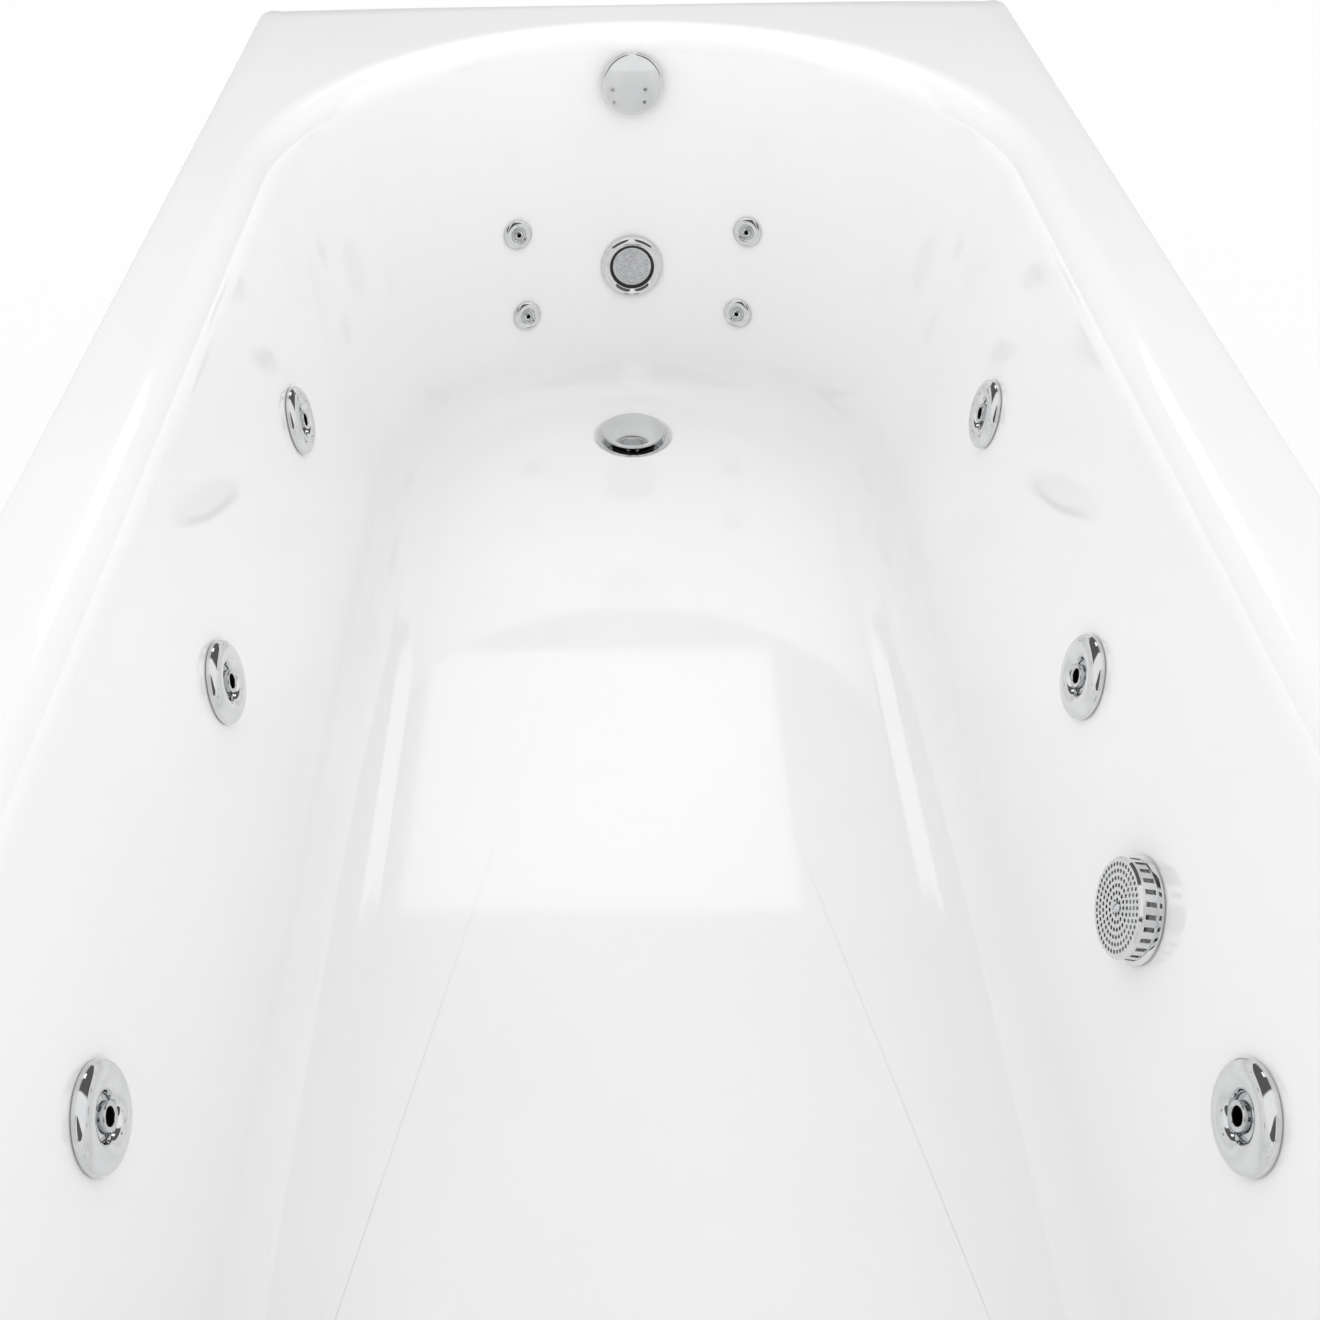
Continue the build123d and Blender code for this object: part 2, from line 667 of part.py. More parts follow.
# Cable of the pop-up: a sheathed wire from the knob's shaft down to the plug's stem
with BuildPart() as popup_cable:
    cable_start = along(overflow, 8, 0, overflow_end - 0.6)
    cable_side = -70
    pipe([cable_start, (cable_start.X + 20, -12, cable_start.Z - 4),
          (cable_start.X + 20, cable_side, cable_start.Z - 90), (cable_start.X + 10, cable_side, 240),
          (waste_x + 70, cable_side + 30, 150), (waste_x + 50, -8, 125), (waste_x + 34, -8, 125)],
         [8, 22, 60, 40, 5], 3, 0)
popup_cable.part.label = "popup_cable"
export_step(popup_cable.part, "parts/popup_cable.step")

# Rubber seals: flat rings behind the flanges, and one cut to the round foot wall under the light
with BuildPart() as seals:
    for plane in jets + [suction]:
        tube(plane, jet_hole, jet_flange, 0, 1)
    for plane in micros:
        tube(plane, micro_hole, 13, 0, 1)
    tube(light, light_hole, 33.5, -1, 2.4)
    tube(overflow, overflow_hole, 25, -0.5, 1.2)
    add(basin_void.part, mode=Mode.INTERSECT)
    tube(waste, 26.5, 40, cup_top, boss_bottom)
seals.part.label = "seals"
export_step(seals.part, "parts/seals.step")

# Clamp nuts behind the wall
with BuildPart() as clamp_nuts:
    for plane in jets + [suction]:
        nut(plane, jet_barrel + running_play, 62, -skin - 9, -skin)
    nut(overflow, jet_barrel + running_play, 58, -skin - 9.5, -skin - 0.5)
    for plane in controls:
        nut(plane, 16 + running_play, 46, -skin - 8, -skin)
    for plane in micros:
        nut(plane, 10 + running_play, 30, -skin - 6, -skin)
    nut(light, light_barrel + running_play, 74, -skin - 9.5, -skin - 0.5)
clamp_nuts.part.label = "clamp_nuts"
export_step(clamp_nuts.part, "parts/clamp_nuts.step")

# Pump tray: a bent steel plate under the head cradle, with the pump on rubber feet
tray_half = (-150, 200)
tray_head = -835
hanger_x = cradle_xs[0] - channel_width / 2
foot_height = 12
motor_foot = tray_top + foot_height

with BuildPart() as pump_tray:
    tray_low = tray_top - tray_skin
    hook_under = cradle_under - tray_skin
    with BuildSketch(Plane(origin=(0, tray_half[0], 0), x_dir=(1, 0, 0), z_dir=(0, -1, 0))):
        with BuildLine():
            Polyline((tray_head, tray_low), (hanger_x, tray_low), (hanger_x, hook_under),
                     (hanger_x + channel_width, hook_under), (hanger_x + channel_width, cradle_under),
                     (hanger_x - tray_skin, cradle_under), (hanger_x - tray_skin, tray_top),
                     (tray_head, tray_top), close=True)
        make_face()
    extrude(amount=tray_half[0] - tray_half[1])
    with BuildSketch(Plane.XY.offset(tray_top)):
        with Locations(*tray_spots):
            Circle(stud_radius + 0.5)
    extrude(amount=-tray_skin, mode=Mode.SUBTRACT)
pump_tray.part.label = "pump_tray"
export_step(pump_tray.part, "parts/pump_tray.step")

motor_front = -30
motor_rear = 130
motor_radius = 60
motor_feet_y = (0, 100)
motor_feet_x = 48


def pump_plane(y):
    """A plane across the pump's shaft, with Z towards the fan end."""
    return Plane(origin=(pump_x, y, pump_z), x_dir=(1, 0, 0), z_dir=(0, 1, 0))


with BuildPart() as pump_feet:
    for x in (-motor_feet_x, motor_feet_x):
        for y in motor_feet_y:
            spot = Plane(origin=(pump_x + x, y, tray_top))
            spin(spot, [(0, 0), (13, 0), (11, foot_height / 2), (13, foot_height), (0, foot_height)])
pump_feet.part.label = "pump_feet"
export_step(pump_feet.part, "parts/pump_feet.step")

# Motor: a finned aluminium barrel with end bells, bearing seats and two cast feet
core_radius = 38
core_gap = 4
barrel_radius = 52
fin_radius = 62
bearing_radius = 16
bearing_width = 10
bell_thick = 8

with BuildPart() as pump_motor:
    with BuildSketch(pump_plane(motor_front)):
        Circle(barrel_radius)
        with PolarLocations(fin_radius - 7, 36):
            Rectangle(14, 2.4)
        Circle(core_radius + core_gap, mode=Mode.SUBTRACT)
    extrude(amount=motor_rear - motor_front)
    for low in (motor_front, motor_rear - bell_thick):
        tube(pump_plane(low), bearing_radius, barrel_radius + 8, 0, bell_thick)
    for y in motor_feet_y:
        with BuildSketch(Plane.XY.offset(motor_foot)):
            with Locations((pump_x, y)):
                Rectangle(2 * motor_feet_x + 28, 26)
        extrude(amount=6)
        for x in (-motor_feet_x + 8, motor_feet_x - 8):
            with BuildSketch(Plane.XY.offset(motor_foot)):
                with Locations((pump_x + x, y)):
                    Rectangle(8, 26)
            extrude(amount=pump_z - motor_foot - 35)
    bore_ends = (motor_front + bell_thick, motor_rear - bell_thick)
    tube(pump_plane(0), 0, core_radius + core_gap, *bore_ends, Mode.SUBTRACT)
pump_motor.part.label = "pump_motor"
export_step(pump_motor.part, "parts/pump_motor.step")

with BuildPart() as pump_bearings:
    for low in (motor_front - 1, motor_rear - bell_thick - 1):
        tube(pump_plane(0), shaft_radius + running_play, bearing_radius, low, low + bearing_width)
pump_bearings.part.label = "pump_bearings"
export_step(pump_bearings.part, "parts/pump_bearings.step")

with BuildPart() as pump_fan_cover:
    cover_radius = barrel_radius + 8
    spin(pump_plane(motor_rear), [(cover_radius - 2, 0), (cover_radius, 0), (cover_radius, 36),
                                  (cover_radius - 6, 42), (0, 42), (0, 40), (cover_radius - 7, 40),
                                  (cover_radius - 2, 35)])
    with BuildSketch(pump_plane(motor_rear + 38)):
        for radius, count in ((14, 6), (24, 12), (34, 18), (44, 24)):
            with PolarLocations(radius, count):
                Circle(3)
    extrude(amount=6, mode=Mode.SUBTRACT)
pump_fan_cover.part.label = "pump_fan_cover"
export_step(pump_fan_cover.part, "parts/pump_fan_cover.step")

# Terminal box with the cable gland and the air switch's inlet
box_low = pump_z + fin_radius
box_y = 60

with BuildPart() as terminal_box:
    with BuildSketch(Plane.XY.offset(box_low)):
        with Locations((pump_x, box_y)):
            RectangleRounded(84, 96, 8)
    extrude(amount=38)
    with BuildSketch(Plane.XY.offset(box_low + 38)):
        with Locations((pump_x, box_y)):
            RectangleRounded(88, 100, 9)
    extrude(amount=6)
    with BuildSketch(Plane.XY.offset(box_low + 3)):
        with Locations((pump_x, box_y)):
            Rectangle(76, 88)
    extrude(amount=34, mode=Mode.SUBTRACT)
    gland = facing((pump_x - 42, box_y, box_low + 20), (-1, 0, 0))
    spin(gland, [(0, -3), (9, -3), (9, 0), (11, 0), (11, 8), (8, 10), (8, 20), (6, 22), (4, 22), (4, 0),
                 (0, 0)])
    inlet = facing((pump_x - 42, box_y + 30, box_low + 20), (-1, 0, 0))
    tube(inlet, 0, 4, -3, 10)
    tube(inlet, 0, 2, -4, 11, Mode.SUBTRACT)
    tube(gland, 0, 4, -5, 1, Mode.SUBTRACT)
terminal_box.part.label = "terminal_box"
export_step(terminal_box.part, "parts/terminal_box.step")

# Wet end: the volute with its axial intake and its outlet on top
volute_front = -95
volute_radius = 68
intake_radius = 27
intake_front = -120
outlet_radius = 22

with BuildPart() as pump_volute:
    outlet = Plane(origin=(outlet_x, outlet_y, pump_z))
    tube(pump_plane(0), 0, volute_radius, volute_front, motor_front)
    tube(pump_plane(0), 0, intake_radius, intake_front, volute_front)
    tube(outlet, 0, outlet_radius, 0, outlet_top - pump_z)
    tube(pump_plane(0), 0, volute_radius - 6, volute_front + 7, motor_front - 8, Mode.SUBTRACT)
    tube(pump_plane(0), 0, intake_radius - 5, intake_front - 1, volute_front + 8, Mode.SUBTRACT)
    tube(outlet, 0, outlet_radius - 5, 10, outlet_top - pump_z + 1, Mode.SUBTRACT)
    tube(pump_plane(0), 0, bearing_radius + 1, motor_front - 9, motor_front + 1, Mode.SUBTRACT)
pump_volute.part.label = "pump_volute"
export_step(pump_volute.part, "parts/pump_volute.step")

# What turns: shaft with the motor's core, impeller and cooling fan
impeller_back = motor_front - 12
fan_low = motor_rear + 6

with BuildPart() as pump_shaft:
    tube(pump_plane(0), 0, shaft_radius, -82, fan_low + 20)
    tube(pump_plane(0), 0, core_radius, 5, 95)
pump_shaft.part.label = "pump_shaft"
export_step(pump_shaft.part, "parts/pump_shaft.step")

with BuildPart() as pump_impeller:
    tube(pump_plane(0), shaft_radius, 56, impeller_back - 4, impeller_back)
    tube(pump_plane(0), shaft_radius, 13, impeller_back - 34, impeller_back - 4)
    with BuildSketch(pump_plane(impeller_back - 4)):
        with PolarLocations(33, 6, start_angle=20):
            Rectangle(42, 3.5, rotation=28)
    extrude(amount=-28)
    tube(pump_plane(0), 0, shaft_radius, -90, 0, Mode.SUBTRACT)
pump_impeller.part.label = "pump_impeller"
export_step(pump_impeller.part, "parts/pump_impeller.step")

with BuildPart() as pump_fan:
    tube(pump_plane(0), shaft_radius, 16, fan_low, fan_low + 20)
    with BuildSketch(pump_plane(fan_low)):
        with PolarLocations(31, 9):
            Rectangle(38, 3)
    extrude(amount=20)
    tube(pump_plane(0), 0, shaft_radius, fan_low - 1, fan_low + 21, Mode.SUBTRACT)
pump_fan.part.label = "pump_fan"
export_step(pump_fan.part, "parts/pump_fan.step")

# Unions on the pump, and the pipe from the suction fitting
union_length = 15
intake = facing((pump_x, intake_front, pump_z), (0, -1, 0))
riser_base = Plane(origin=(outlet_x, outlet_y, outlet_top))

with BuildPart() as pump_unions:
    nut(intake, 22 + running_play, 72, -10, union_length, 10)
    tube(intake, 22, intake_radius + running_play, -11, 0, Mode.SUBTRACT)
    nut(riser_base, 16 + running_play, 60, -10, union_length, 10)
    tube(riser_base, 16, outlet_radius + running_play, -11, 0, Mode.SUBTRACT)
pump_unions.part.label = "pump_unions"
export_step(pump_unions.part, "parts/pump_unions.step")

suction_run_y = -312
with BuildPart() as suction_pipe:
    start = along(elbow, 0, 0, elbow_reach)
    below = along(elbow, 0, 0, elbow_reach + 40)
    pipe([start, below, (suction_x, suction_run_y, pump_z), (pump_x, suction_run_y, pump_z),
          (pump_x, intake_front, pump_z)], [30, 60, 60], 22, 18)
suction_pipe.part.label = "suction_pipe"
export_step(suction_pipe.part, "parts/suction_pipe.step")

# Water pipes: runs between the jets, a header under the backrest and a tee on the pump's riser
tee = Vector(outlet_x, outlet_y, header_z)
tee_reach = 35

with BuildPart() as water_pipes:
    for plane in (jets[0], jets[1], jets[3], jets[4]):
        start = spigot_end(plane, -1)
        end = (start.X - jet_pitch + 2 * spigot_reach, start.Y, start.Z)
        straight_pipe(start, end, pipe_radius, pipe_bore)
    for plane, side in ((jets[2], 1), (jets[5], -1)):
        start = spigot_end(plane, -1)
        pipe([start, (outlet_x, start.Y, start.Z), (outlet_x, start.Y, header_z),
              (outlet_x, outlet_y + side * tee_reach, header_z)], [40, 40], pipe_radius, pipe_bore)
    riser_top = (outlet_x, outlet_y, header_z - tee_reach)
    straight_pipe((outlet_x, outlet_y, outlet_top), riser_top, pipe_radius + 3, pipe_radius)
    cross = facing(tee, (0, 1, 0))
    stem = facing(tee, (0, 0, -1))
    tube(cross, 0, 20, -tee_reach, tee_reach)
    tube(stem, 0, 20, 0, tee_reach)
    tube(cross, 0, pipe_radius, -tee_reach, tee_reach, Mode.SUBTRACT)
    tube(stem, 0, pipe_radius, 0, tee_reach, Mode.SUBTRACT)
water_pipes.part.label = "water_pipes"
export_step(water_pipes.part, "parts/water_pipes.step")

# Small pipes: from the foot jets' ends to the foot micro jets, and from the header to the back ones
reducer_length = 12
link_gap = 1.1
with BuildPart() as micro_pipes:
    for side in (1, -1):
        jet = jets[0] if side > 0 else jets[3]
        upper, lower = foot_micros[:2] if side > 0 else foot_micros[2:]
        start = spigot_end(jet, 1)
        reducer = facing(start, (1, 0, 0))
        tube(reducer, small_bore, pipe_radius, 0, reducer_length)
        top = along(upper, 0, micro_reach, micro_pipe_back)
        above = along(upper, 0, micro_reach + 26, micro_pipe_back)
        pipe([(start.X + reducer_length, start.Y, start.Z), (start.X + 60, start.Y, start.Z),
              (600, side * 332, start.Z + 2), (720, side * 252, above.Z + 4), above, top],
             [80, 60, 30, 12], small_radius, small_bore)
        link_start = along(upper, 0, -micro_reach - link_gap, micro_pipe_back)
        link_end = along(lower, 0, micro_reach + link_gap, micro_pipe_back)
        straight_pipe(link_start, link_end, small_radius, small_bore)
    for upper, lower in ((back_micros[0], back_micros[1]), (back_micros[2], back_micros[3])):
        link_start = along(upper, 0, -micro_reach - link_gap, micro_pipe_back)
        link_end = along(lower, 0, micro_reach + link_gap, micro_pipe_back)
        straight_pipe(link_start, link_end, small_radius, small_bore)
        feed = along(lower, 0, -micro_reach, micro_pipe_back)
        onward = along(lower, 0, -micro_reach - 13, micro_pipe_back)
        pipe([feed, onward, (outlet_x, feed.Y, header_z)], 8, small_radius, small_bore)
    tube(facing(tee, (0, 1, 0)), 0, pipe_radius, -width / 2, width / 2, Mode.SUBTRACT)
micro_pipes.part.label = "micro_pipes"
export_step(micro_pipes.part, "parts/micro_pipes.step")

# Air pipes: one loop over the jets and round the head end, with a branch to the air control
air_run_z = along(jets[0], 0, air_reach + small_radius, 2 - pipe_back).Z
air_run_y = along(jets[0], 0, air_reach + small_radius, 2 - pipe_back).Y
air_head = -800
control_low = height - 50

with BuildPart() as air_pipes:
    foot_end = jet_pitch + 10
    pipe([(foot_end, air_run_y, air_run_z), (air_head, air_run_y, air_run_z),
          (air_head, -air_run_y, air_run_z), (foot_end, -air_run_y, air_run_z)], 40, small_radius, 0)
    for plane in jets:
        riser = facing(along(plane, 0, air_reach, 2 - pipe_back), plane.y_dir)
        tube(riser, 0, air_radius, 0, small_radius)
    branch_y = 80 - control_y
    pipe([(control_x, -control_y, control_low), (control_x, -control_y, air_run_z),
          (control_x, branch_y, air_run_z), (air_head, branch_y, air_run_z)], 20, air_radius, 0)
air_pipes.part.label = "air_pipes"
export_step(air_pipes.part, "parts/air_pipes.step")

# Controls in the head end corners of the rim: air control knob, and the air pressed on and off button
collar_radius = 21

with BuildPart() as control_bodies:
    for plane in controls:
        tube(plane, 0, 16, -50, 0)
        tube(plane, 0, collar_radius, 0, 2.5)
        tube(plane, 0, 14, -46, 3, Mode.SUBTRACT)
    tube(controls[0], 0, 4, -51, -45, Mode.SUBTRACT)
    tube(controls[0], 5.05, 14.5, -24, -12)
    tube(controls[1], 0, 3, -60, -50)
    tube(controls[1], 0, 1.8, -61, -45, Mode.SUBTRACT)
control_bodies.part.label = "control_bodies"
export_step(control_bodies.part, "parts/control_bodies.step")

with BuildPart() as air_knob:
    spin(controls[0], [(0, -30), (5, -30), (5, 2.9), (18, 2.9), (19, 3.9), (17.6, 17), (16, 18.4), (0, 19)])
    with BuildSketch(controls[0].offset(4)):
        with PolarLocations(20.4, 12):
            Circle(2.4)
    extrude(amount=20, mode=Mode.SUBTRACT)
air_knob.part.label = "air_knob"
export_step(air_knob.part, "parts/air_knob.step")

with BuildPart() as power_button:
    spin(controls[1], [(0, 0), (10, 0), (10, -8), (13.9, -8), (13.9, 5.5), (12.6, 6.8), (0, 7.4)])
power_button.part.label = "power_button"
export_step(power_button.part, "parts/power_button.step")

with BuildPart() as button_bellows:
    spin(controls[1], [(0, -46), (11, -46), (13, -41), (9.5, -36), (13, -31), (9.5, -26), (13, -21),
                       (9.5, -16), (12.6, -8), (10, -8), (10, -9), (7.5, -16), (10.5, -21), (7.5, -26),
                       (10.5, -31), (7.5, -36), (10.5, -41), (9, -44), (0, -44)])
button_bellows.part.label = "button_bellows"
export_step(button_bellows.part, "parts/button_bellows.step")

with BuildPart() as air_switch_tube:
    inlet_height = box_low + 20
    pipe([(control_x, control_y, height - 60), (control_x, control_y, 300),
          (control_x + 10, box_y + 120, 240), (control_x + 20, box_y + 30, inlet_height),
          (pump_x - 52, box_y + 30, inlet_height)], [60, 60, 20], 3, 0)
air_switch_tube.part.label = "air_switch_tube"
export_step(air_switch_tube.part, "parts/air_switch_tube.step")
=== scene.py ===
import json
from math import cos, pi, radians, sin, tan

import bmesh
import bpy
import numpy as np
from mathutils import Matrix

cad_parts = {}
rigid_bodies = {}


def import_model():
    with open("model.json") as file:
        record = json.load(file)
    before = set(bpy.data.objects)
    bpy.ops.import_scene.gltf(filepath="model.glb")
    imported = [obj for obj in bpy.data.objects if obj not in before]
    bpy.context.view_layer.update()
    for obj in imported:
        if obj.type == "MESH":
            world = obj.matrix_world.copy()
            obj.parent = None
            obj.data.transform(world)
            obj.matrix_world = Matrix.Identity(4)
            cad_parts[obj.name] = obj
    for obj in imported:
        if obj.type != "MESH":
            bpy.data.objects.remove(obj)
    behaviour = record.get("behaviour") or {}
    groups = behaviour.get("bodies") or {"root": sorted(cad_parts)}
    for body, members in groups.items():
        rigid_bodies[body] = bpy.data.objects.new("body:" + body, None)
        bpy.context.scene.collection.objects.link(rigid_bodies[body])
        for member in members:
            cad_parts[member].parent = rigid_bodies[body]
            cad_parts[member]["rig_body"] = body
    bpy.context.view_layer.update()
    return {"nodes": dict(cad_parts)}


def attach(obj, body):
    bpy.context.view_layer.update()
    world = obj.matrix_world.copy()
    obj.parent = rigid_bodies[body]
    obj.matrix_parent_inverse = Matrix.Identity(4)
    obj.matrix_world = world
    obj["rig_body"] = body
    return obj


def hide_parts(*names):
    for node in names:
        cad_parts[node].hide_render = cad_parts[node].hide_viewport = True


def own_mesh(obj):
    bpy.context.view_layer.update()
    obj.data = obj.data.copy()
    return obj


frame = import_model()

# Bath shell. One sheet of white acrylic, drawn down into a mould and trimmed below the turned-down lip, with
# glass fibre and resin sprayed on its back. The foot end is half round, the head end squarer and sloping.
length, width, height = 1.8, 0.8, 0.59
basin_depth, skin = 0.396, 0.006
lip_drop, rim_corner, lip_edge = 0.04, 0.018, 0.004
basin_half, foot_x, head_x = 0.327, 0.82, -0.81
side_slope, foot_slope, head_slope = radians(10), radians(9), radians(35)
corner_top, corner_floor = 0.19, 0.15
rim_roll, floor_roll = 0.03, 0.055
waste_x, waste_hole, boss_radius, boss_drop = 0.66, 0.026, 0.05, 0.014
dish_profile = [(0.026, 0.007), (0.032, 0.007), (0.0362, 0.0069), (0.0378, 0.0066), (0.0392, 0.0058),
                (0.0432, 0.0014), (0.0446, 0.0003), (0.0462, 0.0), (0.049, 0.0)]


def side_plane(x, side, depth):
    """The frame (origin, x, y, z) of a fitting on a side wall: y is up the wall and z into the basin."""
    c, s = cos(side_slope), sin(side_slope)
    origin = (x, side * (basin_half - tan(side_slope) * depth), height - depth)
    return np.array([origin, (side, 0, 0), (0, side * s, c), (0, -side * c, s)])


def foot_plane(turn, depth):
    """The frame of a fitting on the round foot wall, turned about the middle of that wall's curve."""
    half = basin_half - tan(side_slope) * depth
    centre = foot_x - tan(foot_slope) * depth - half
    c, s = cos(radians(turn)), sin(radians(turn))
    z = np.array([-c, -s, tan(side_slope) - (tan(side_slope) - tan(foot_slope)) * c])
    z /= np.linalg.norm(z)
    x = np.array([s, -c, 0.0])
    return np.array([(centre + half * c, half * s, height - depth), x, np.cross(z, x), z])


def back_plane(y, depth):
    """The frame of a fitting on the sloping backrest."""
    c, s = cos(head_slope), sin(head_slope)
    return np.array([(head_x + tan(head_slope) * depth, y, height - depth), (0, 1, 0), (-s, 0, c), (c, 0, s)])


jets = [side_plane(k * 0.335, side, 0.168) for side in (1, -1) for k in (1, 0, -1)]
micros = [foot_plane(side * 25.5, depth) for side in (1, -1) for depth in (0.2, 0.292)]
micros += [back_plane(side * y, depth) for side in (1, -1) for y, depth in ((0.126, 0.15), (0.116, 0.24))]
suction = side_plane(-0.175, -1, 0.2)
light = foot_plane(0, 0.249)
overflow = foot_plane(0, 0.052)
waste = np.array([(waste_x, 0, height - basin_depth), (1, 0, 0), (0, 1, 0), (0, 0, 1)])

# Stations round the half outline with Y above 0: foot curve, side, head corner, head. They crowd where a
# fitting or a corner of the rim needs them.
arc = np.radians(np.concatenate([np.arange(0, 33, 1.2), np.arange(33, 42.6, 2.2), np.arange(43, 46.2, 0.4),
                                 np.arange(48, 91, 2.1)]))
arc[-1] = pi / 2
jet_shares = [(0.493 - x) / 1.1 for x in (0.335, 0.0, -0.335, -0.175)]
run = np.concatenate([np.linspace(0, 1, 40)] + [np.linspace(s - 0.031, s + 0.031, 14) for s in jet_shares])
run = np.unique(np.round(run[(run > 0.008) & (run <= 1)], 4))
bend = np.concatenate([np.arange(2.5, 40, 2.5), np.arange(41.4, 45.2, 0.4), np.arange(47.5, 91, 2.5)])
bend = np.radians(bend)
end = np.concatenate([np.linspace(0.97, 0.55, 9), [0.4, 0.2, 0.0]])


def plan(depth):
    """Each station's centre and its distance from it at a depth, on the half with Y above 0."""
    half = basin_half - tan(side_slope) * depth
    corner = corner_top + (corner_floor - corner_top) * depth / basin_depth
    back = head_x + tan(head_slope) * depth + corner
    front = foot_x - tan(foot_slope) * depth - half
    flat = half - corner
    x = np.concatenate([front + 0 * arc, front + (back - front) * run, back + 0 * bend, back + 0 * end])
    y = np.concatenate([0 * arc, 0 * run, flat + 0 * bend, flat * end])
    reach = np.concatenate([half + 0 * arc, half + 0 * run, corner + 0 * bend, corner + 0 * end])
    return np.column_stack([x, y]), reach[:, None]


def mirrored(half):
    """The half loop, followed by its own mirror image on the other side of the centre line."""
    return np.vstack([half, half[-2:0:-1] * (1, -1)])


way = np.vstack([np.column_stack([np.cos(arc), np.sin(arc)]), np.tile((0.0, 1.0), (len(run), 1)),
                 np.column_stack([-np.sin(bend), np.cos(bend)]), np.tile((-1.0, 0.0), (len(end), 1))])
centre_top, reach_top = plan(0)
centre_low, reach_low = plan(basin_depth)
top = mirrored(centre_top + reach_top * way)
low = mirrored(centre_low + reach_low * way)
way = mirrored(way)
inward = -((low - top) * way).sum(1)
slope = np.arctan(inward / basin_depth)
drift = low - top + inward[:, None] * way
turn = pi / 2 - slope
top_run = rim_roll * np.tan(turn / 2)
low_run = floor_roll * np.tan(turn / 2)
stations = len(top)

corner_at = np.array([length / 2, width / 2])
with np.errstate(divide="ignore"):
    to_edge = np.min((corner_at - top * np.sign(way + 1e-12)) / np.maximum(np.abs(way), 1e-9), axis=1)
hit = top + to_edge[:, None] * way
rounded = np.all(np.abs(hit) > corner_at - rim_corner, axis=1)
knuckle = np.sign(hit) * (corner_at - rim_corner) - top
along_ray = (knuckle * way).sum(1)
across = np.maximum(rim_corner ** 2 - (knuckle ** 2).sum(1) + along_ray ** 2, 0)
to_edge = np.where(rounded, along_ray + np.sqrt(across), to_edge)


def section(reach, depth, share=None):
    """A row of points: out from the opening's line by reach, and down by depth, with the line's own drift."""
    reach, depth = reach + 0 * slope, depth + 0 * slope
    share = np.clip(depth / basin_depth, 0, 1) if share is None else share + 0 * slope
    flat = top + reach[:, None] * way + drift * share[:, None]
    return np.column_stack([flat, height - depth])


floor_edge = section(-inward - low_run, basin_depth)[:, :2]
spoke = floor_edge - (waste_x, 0)
spoke_length = np.linalg.norm(spoke, axis=1)
spoke /= spoke_length[:, None]
faces_up, backs = [], []
for radius, drop in dish_profile:
    ring = np.column_stack([(waste_x, 0) + spoke * radius, np.full(stations, height - basin_depth - drop)])
    faces_up.append(ring)
    back = ring.copy()
    back[:, 2] = height - basin_depth - (boss_drop if radius < 0.048 else skin)
    backs.append(back)
last_step = np.minimum(0.003, 0.3 * (spoke_length - 0.049))
for t in (0.03, 0.08, 0.16, 0.3, 0.5, 0.75, 1.0, 1.1):
    radius = spoke_length if t > 1 else 0.049 + (spoke_length - 0.049 - last_step) * t
    flat = (waste_x, 0) + spoke * radius[:, None]
    faces_up.append(np.column_stack([flat, np.full(stations, height - basin_depth)]))
    flat = (waste_x, 0) + spoke * np.maximum(radius, boss_radius + 0.0002 * t)[:, None]
    backs.append(np.column_stack([flat, np.full(stations, height - basin_depth - skin)]))
for t in np.linspace(0, 1, 14)[1:]:
    b = turn * t
    reach = -inward - low_run
    faces_up.append(section(reach + floor_roll * np.sin(b), basin_depth - floor_roll * (1 - np.cos(b))))
    thick = floor_roll + skin
    backs.append(section(reach + thick * np.sin(b), basin_depth - floor_roll + thick * np.cos(b)))
for t in np.linspace(0, 1, 58)[1:]:
    foot_of = np.array([low_run * np.sin(slope) - inward, basin_depth - low_run * np.cos(slope)])
    head_of = np.array([-top_run * np.sin(slope), top_run * np.cos(slope)])
    reach, depth = foot_of + (head_of - foot_of) * t
    faces_up.append(section(reach, depth))
    backs.append(section(reach + skin * np.cos(slope), depth + skin * np.sin(slope)))
for t in np.linspace(1, 0, 10)[1:]:
    a = turn * t
    faces_up.append(section(top_run - rim_roll * np.sin(a), rim_roll * (1 - np.cos(a))))
    thin = rim_roll - skin
    backs.append(section(top_run - thin * np.sin(a), rim_roll - thin * np.cos(a)))
for t in (0.04, 0.2, 0.5, 0.8, 1.0):
    reach = top_run + (to_edge - lip_edge - top_run) * t
    faces_up.append(section(reach, 0, 0))
    backs.append(section(reach - 0.0035 * t, skin, 0))
for t in np.linspace(0, 1, 5)[1:]:
    c = pi / 2 * t
    faces_up.append(section(to_edge - lip_edge + lip_edge * sin(c), lip_edge * (1 - cos(c)), 0))
    backs.append(section(to_edge - skin - 0.0015 * (1 - t), skin + 0.0015 * t, 0))
for t in (0.2, 0.5, 1.0):
    faces_up.append(section(to_edge, lip_edge + (lip_drop - lip_edge) * t, 0))
    backs.append(section(to_edge - skin, skin + 0.0015 + (lip_drop - skin - 0.0015) * t, 0))


def linked(name, points, faces, materials=(), sharp=35, face_material=None):
    """A mesh object from arrays: poles and seams merged, smooth but for edges past the sharp angle."""
    mesh = bpy.data.meshes.new(name)
    mesh.from_pydata(points, [], faces)
    if face_material is not None:
        mesh.polygons.foreach_set("material_index", face_material)
    form = bmesh.new()
    form.from_mesh(mesh)
    bmesh.ops.remove_doubles(form, verts=form.verts, dist=2e-6)
    bmesh.ops.dissolve_degenerate(form, edges=form.edges, dist=1e-7)
    form.to_mesh(mesh)
    form.free()
    mesh.shade_smooth()
    mesh.set_sharp_from_angle(angle=radians(sharp))
    piece = bpy.data.objects.new(name, mesh)
    bpy.context.scene.collection.objects.link(piece)
    for material in materials:
        mesh.materials.append(material)
    return piece


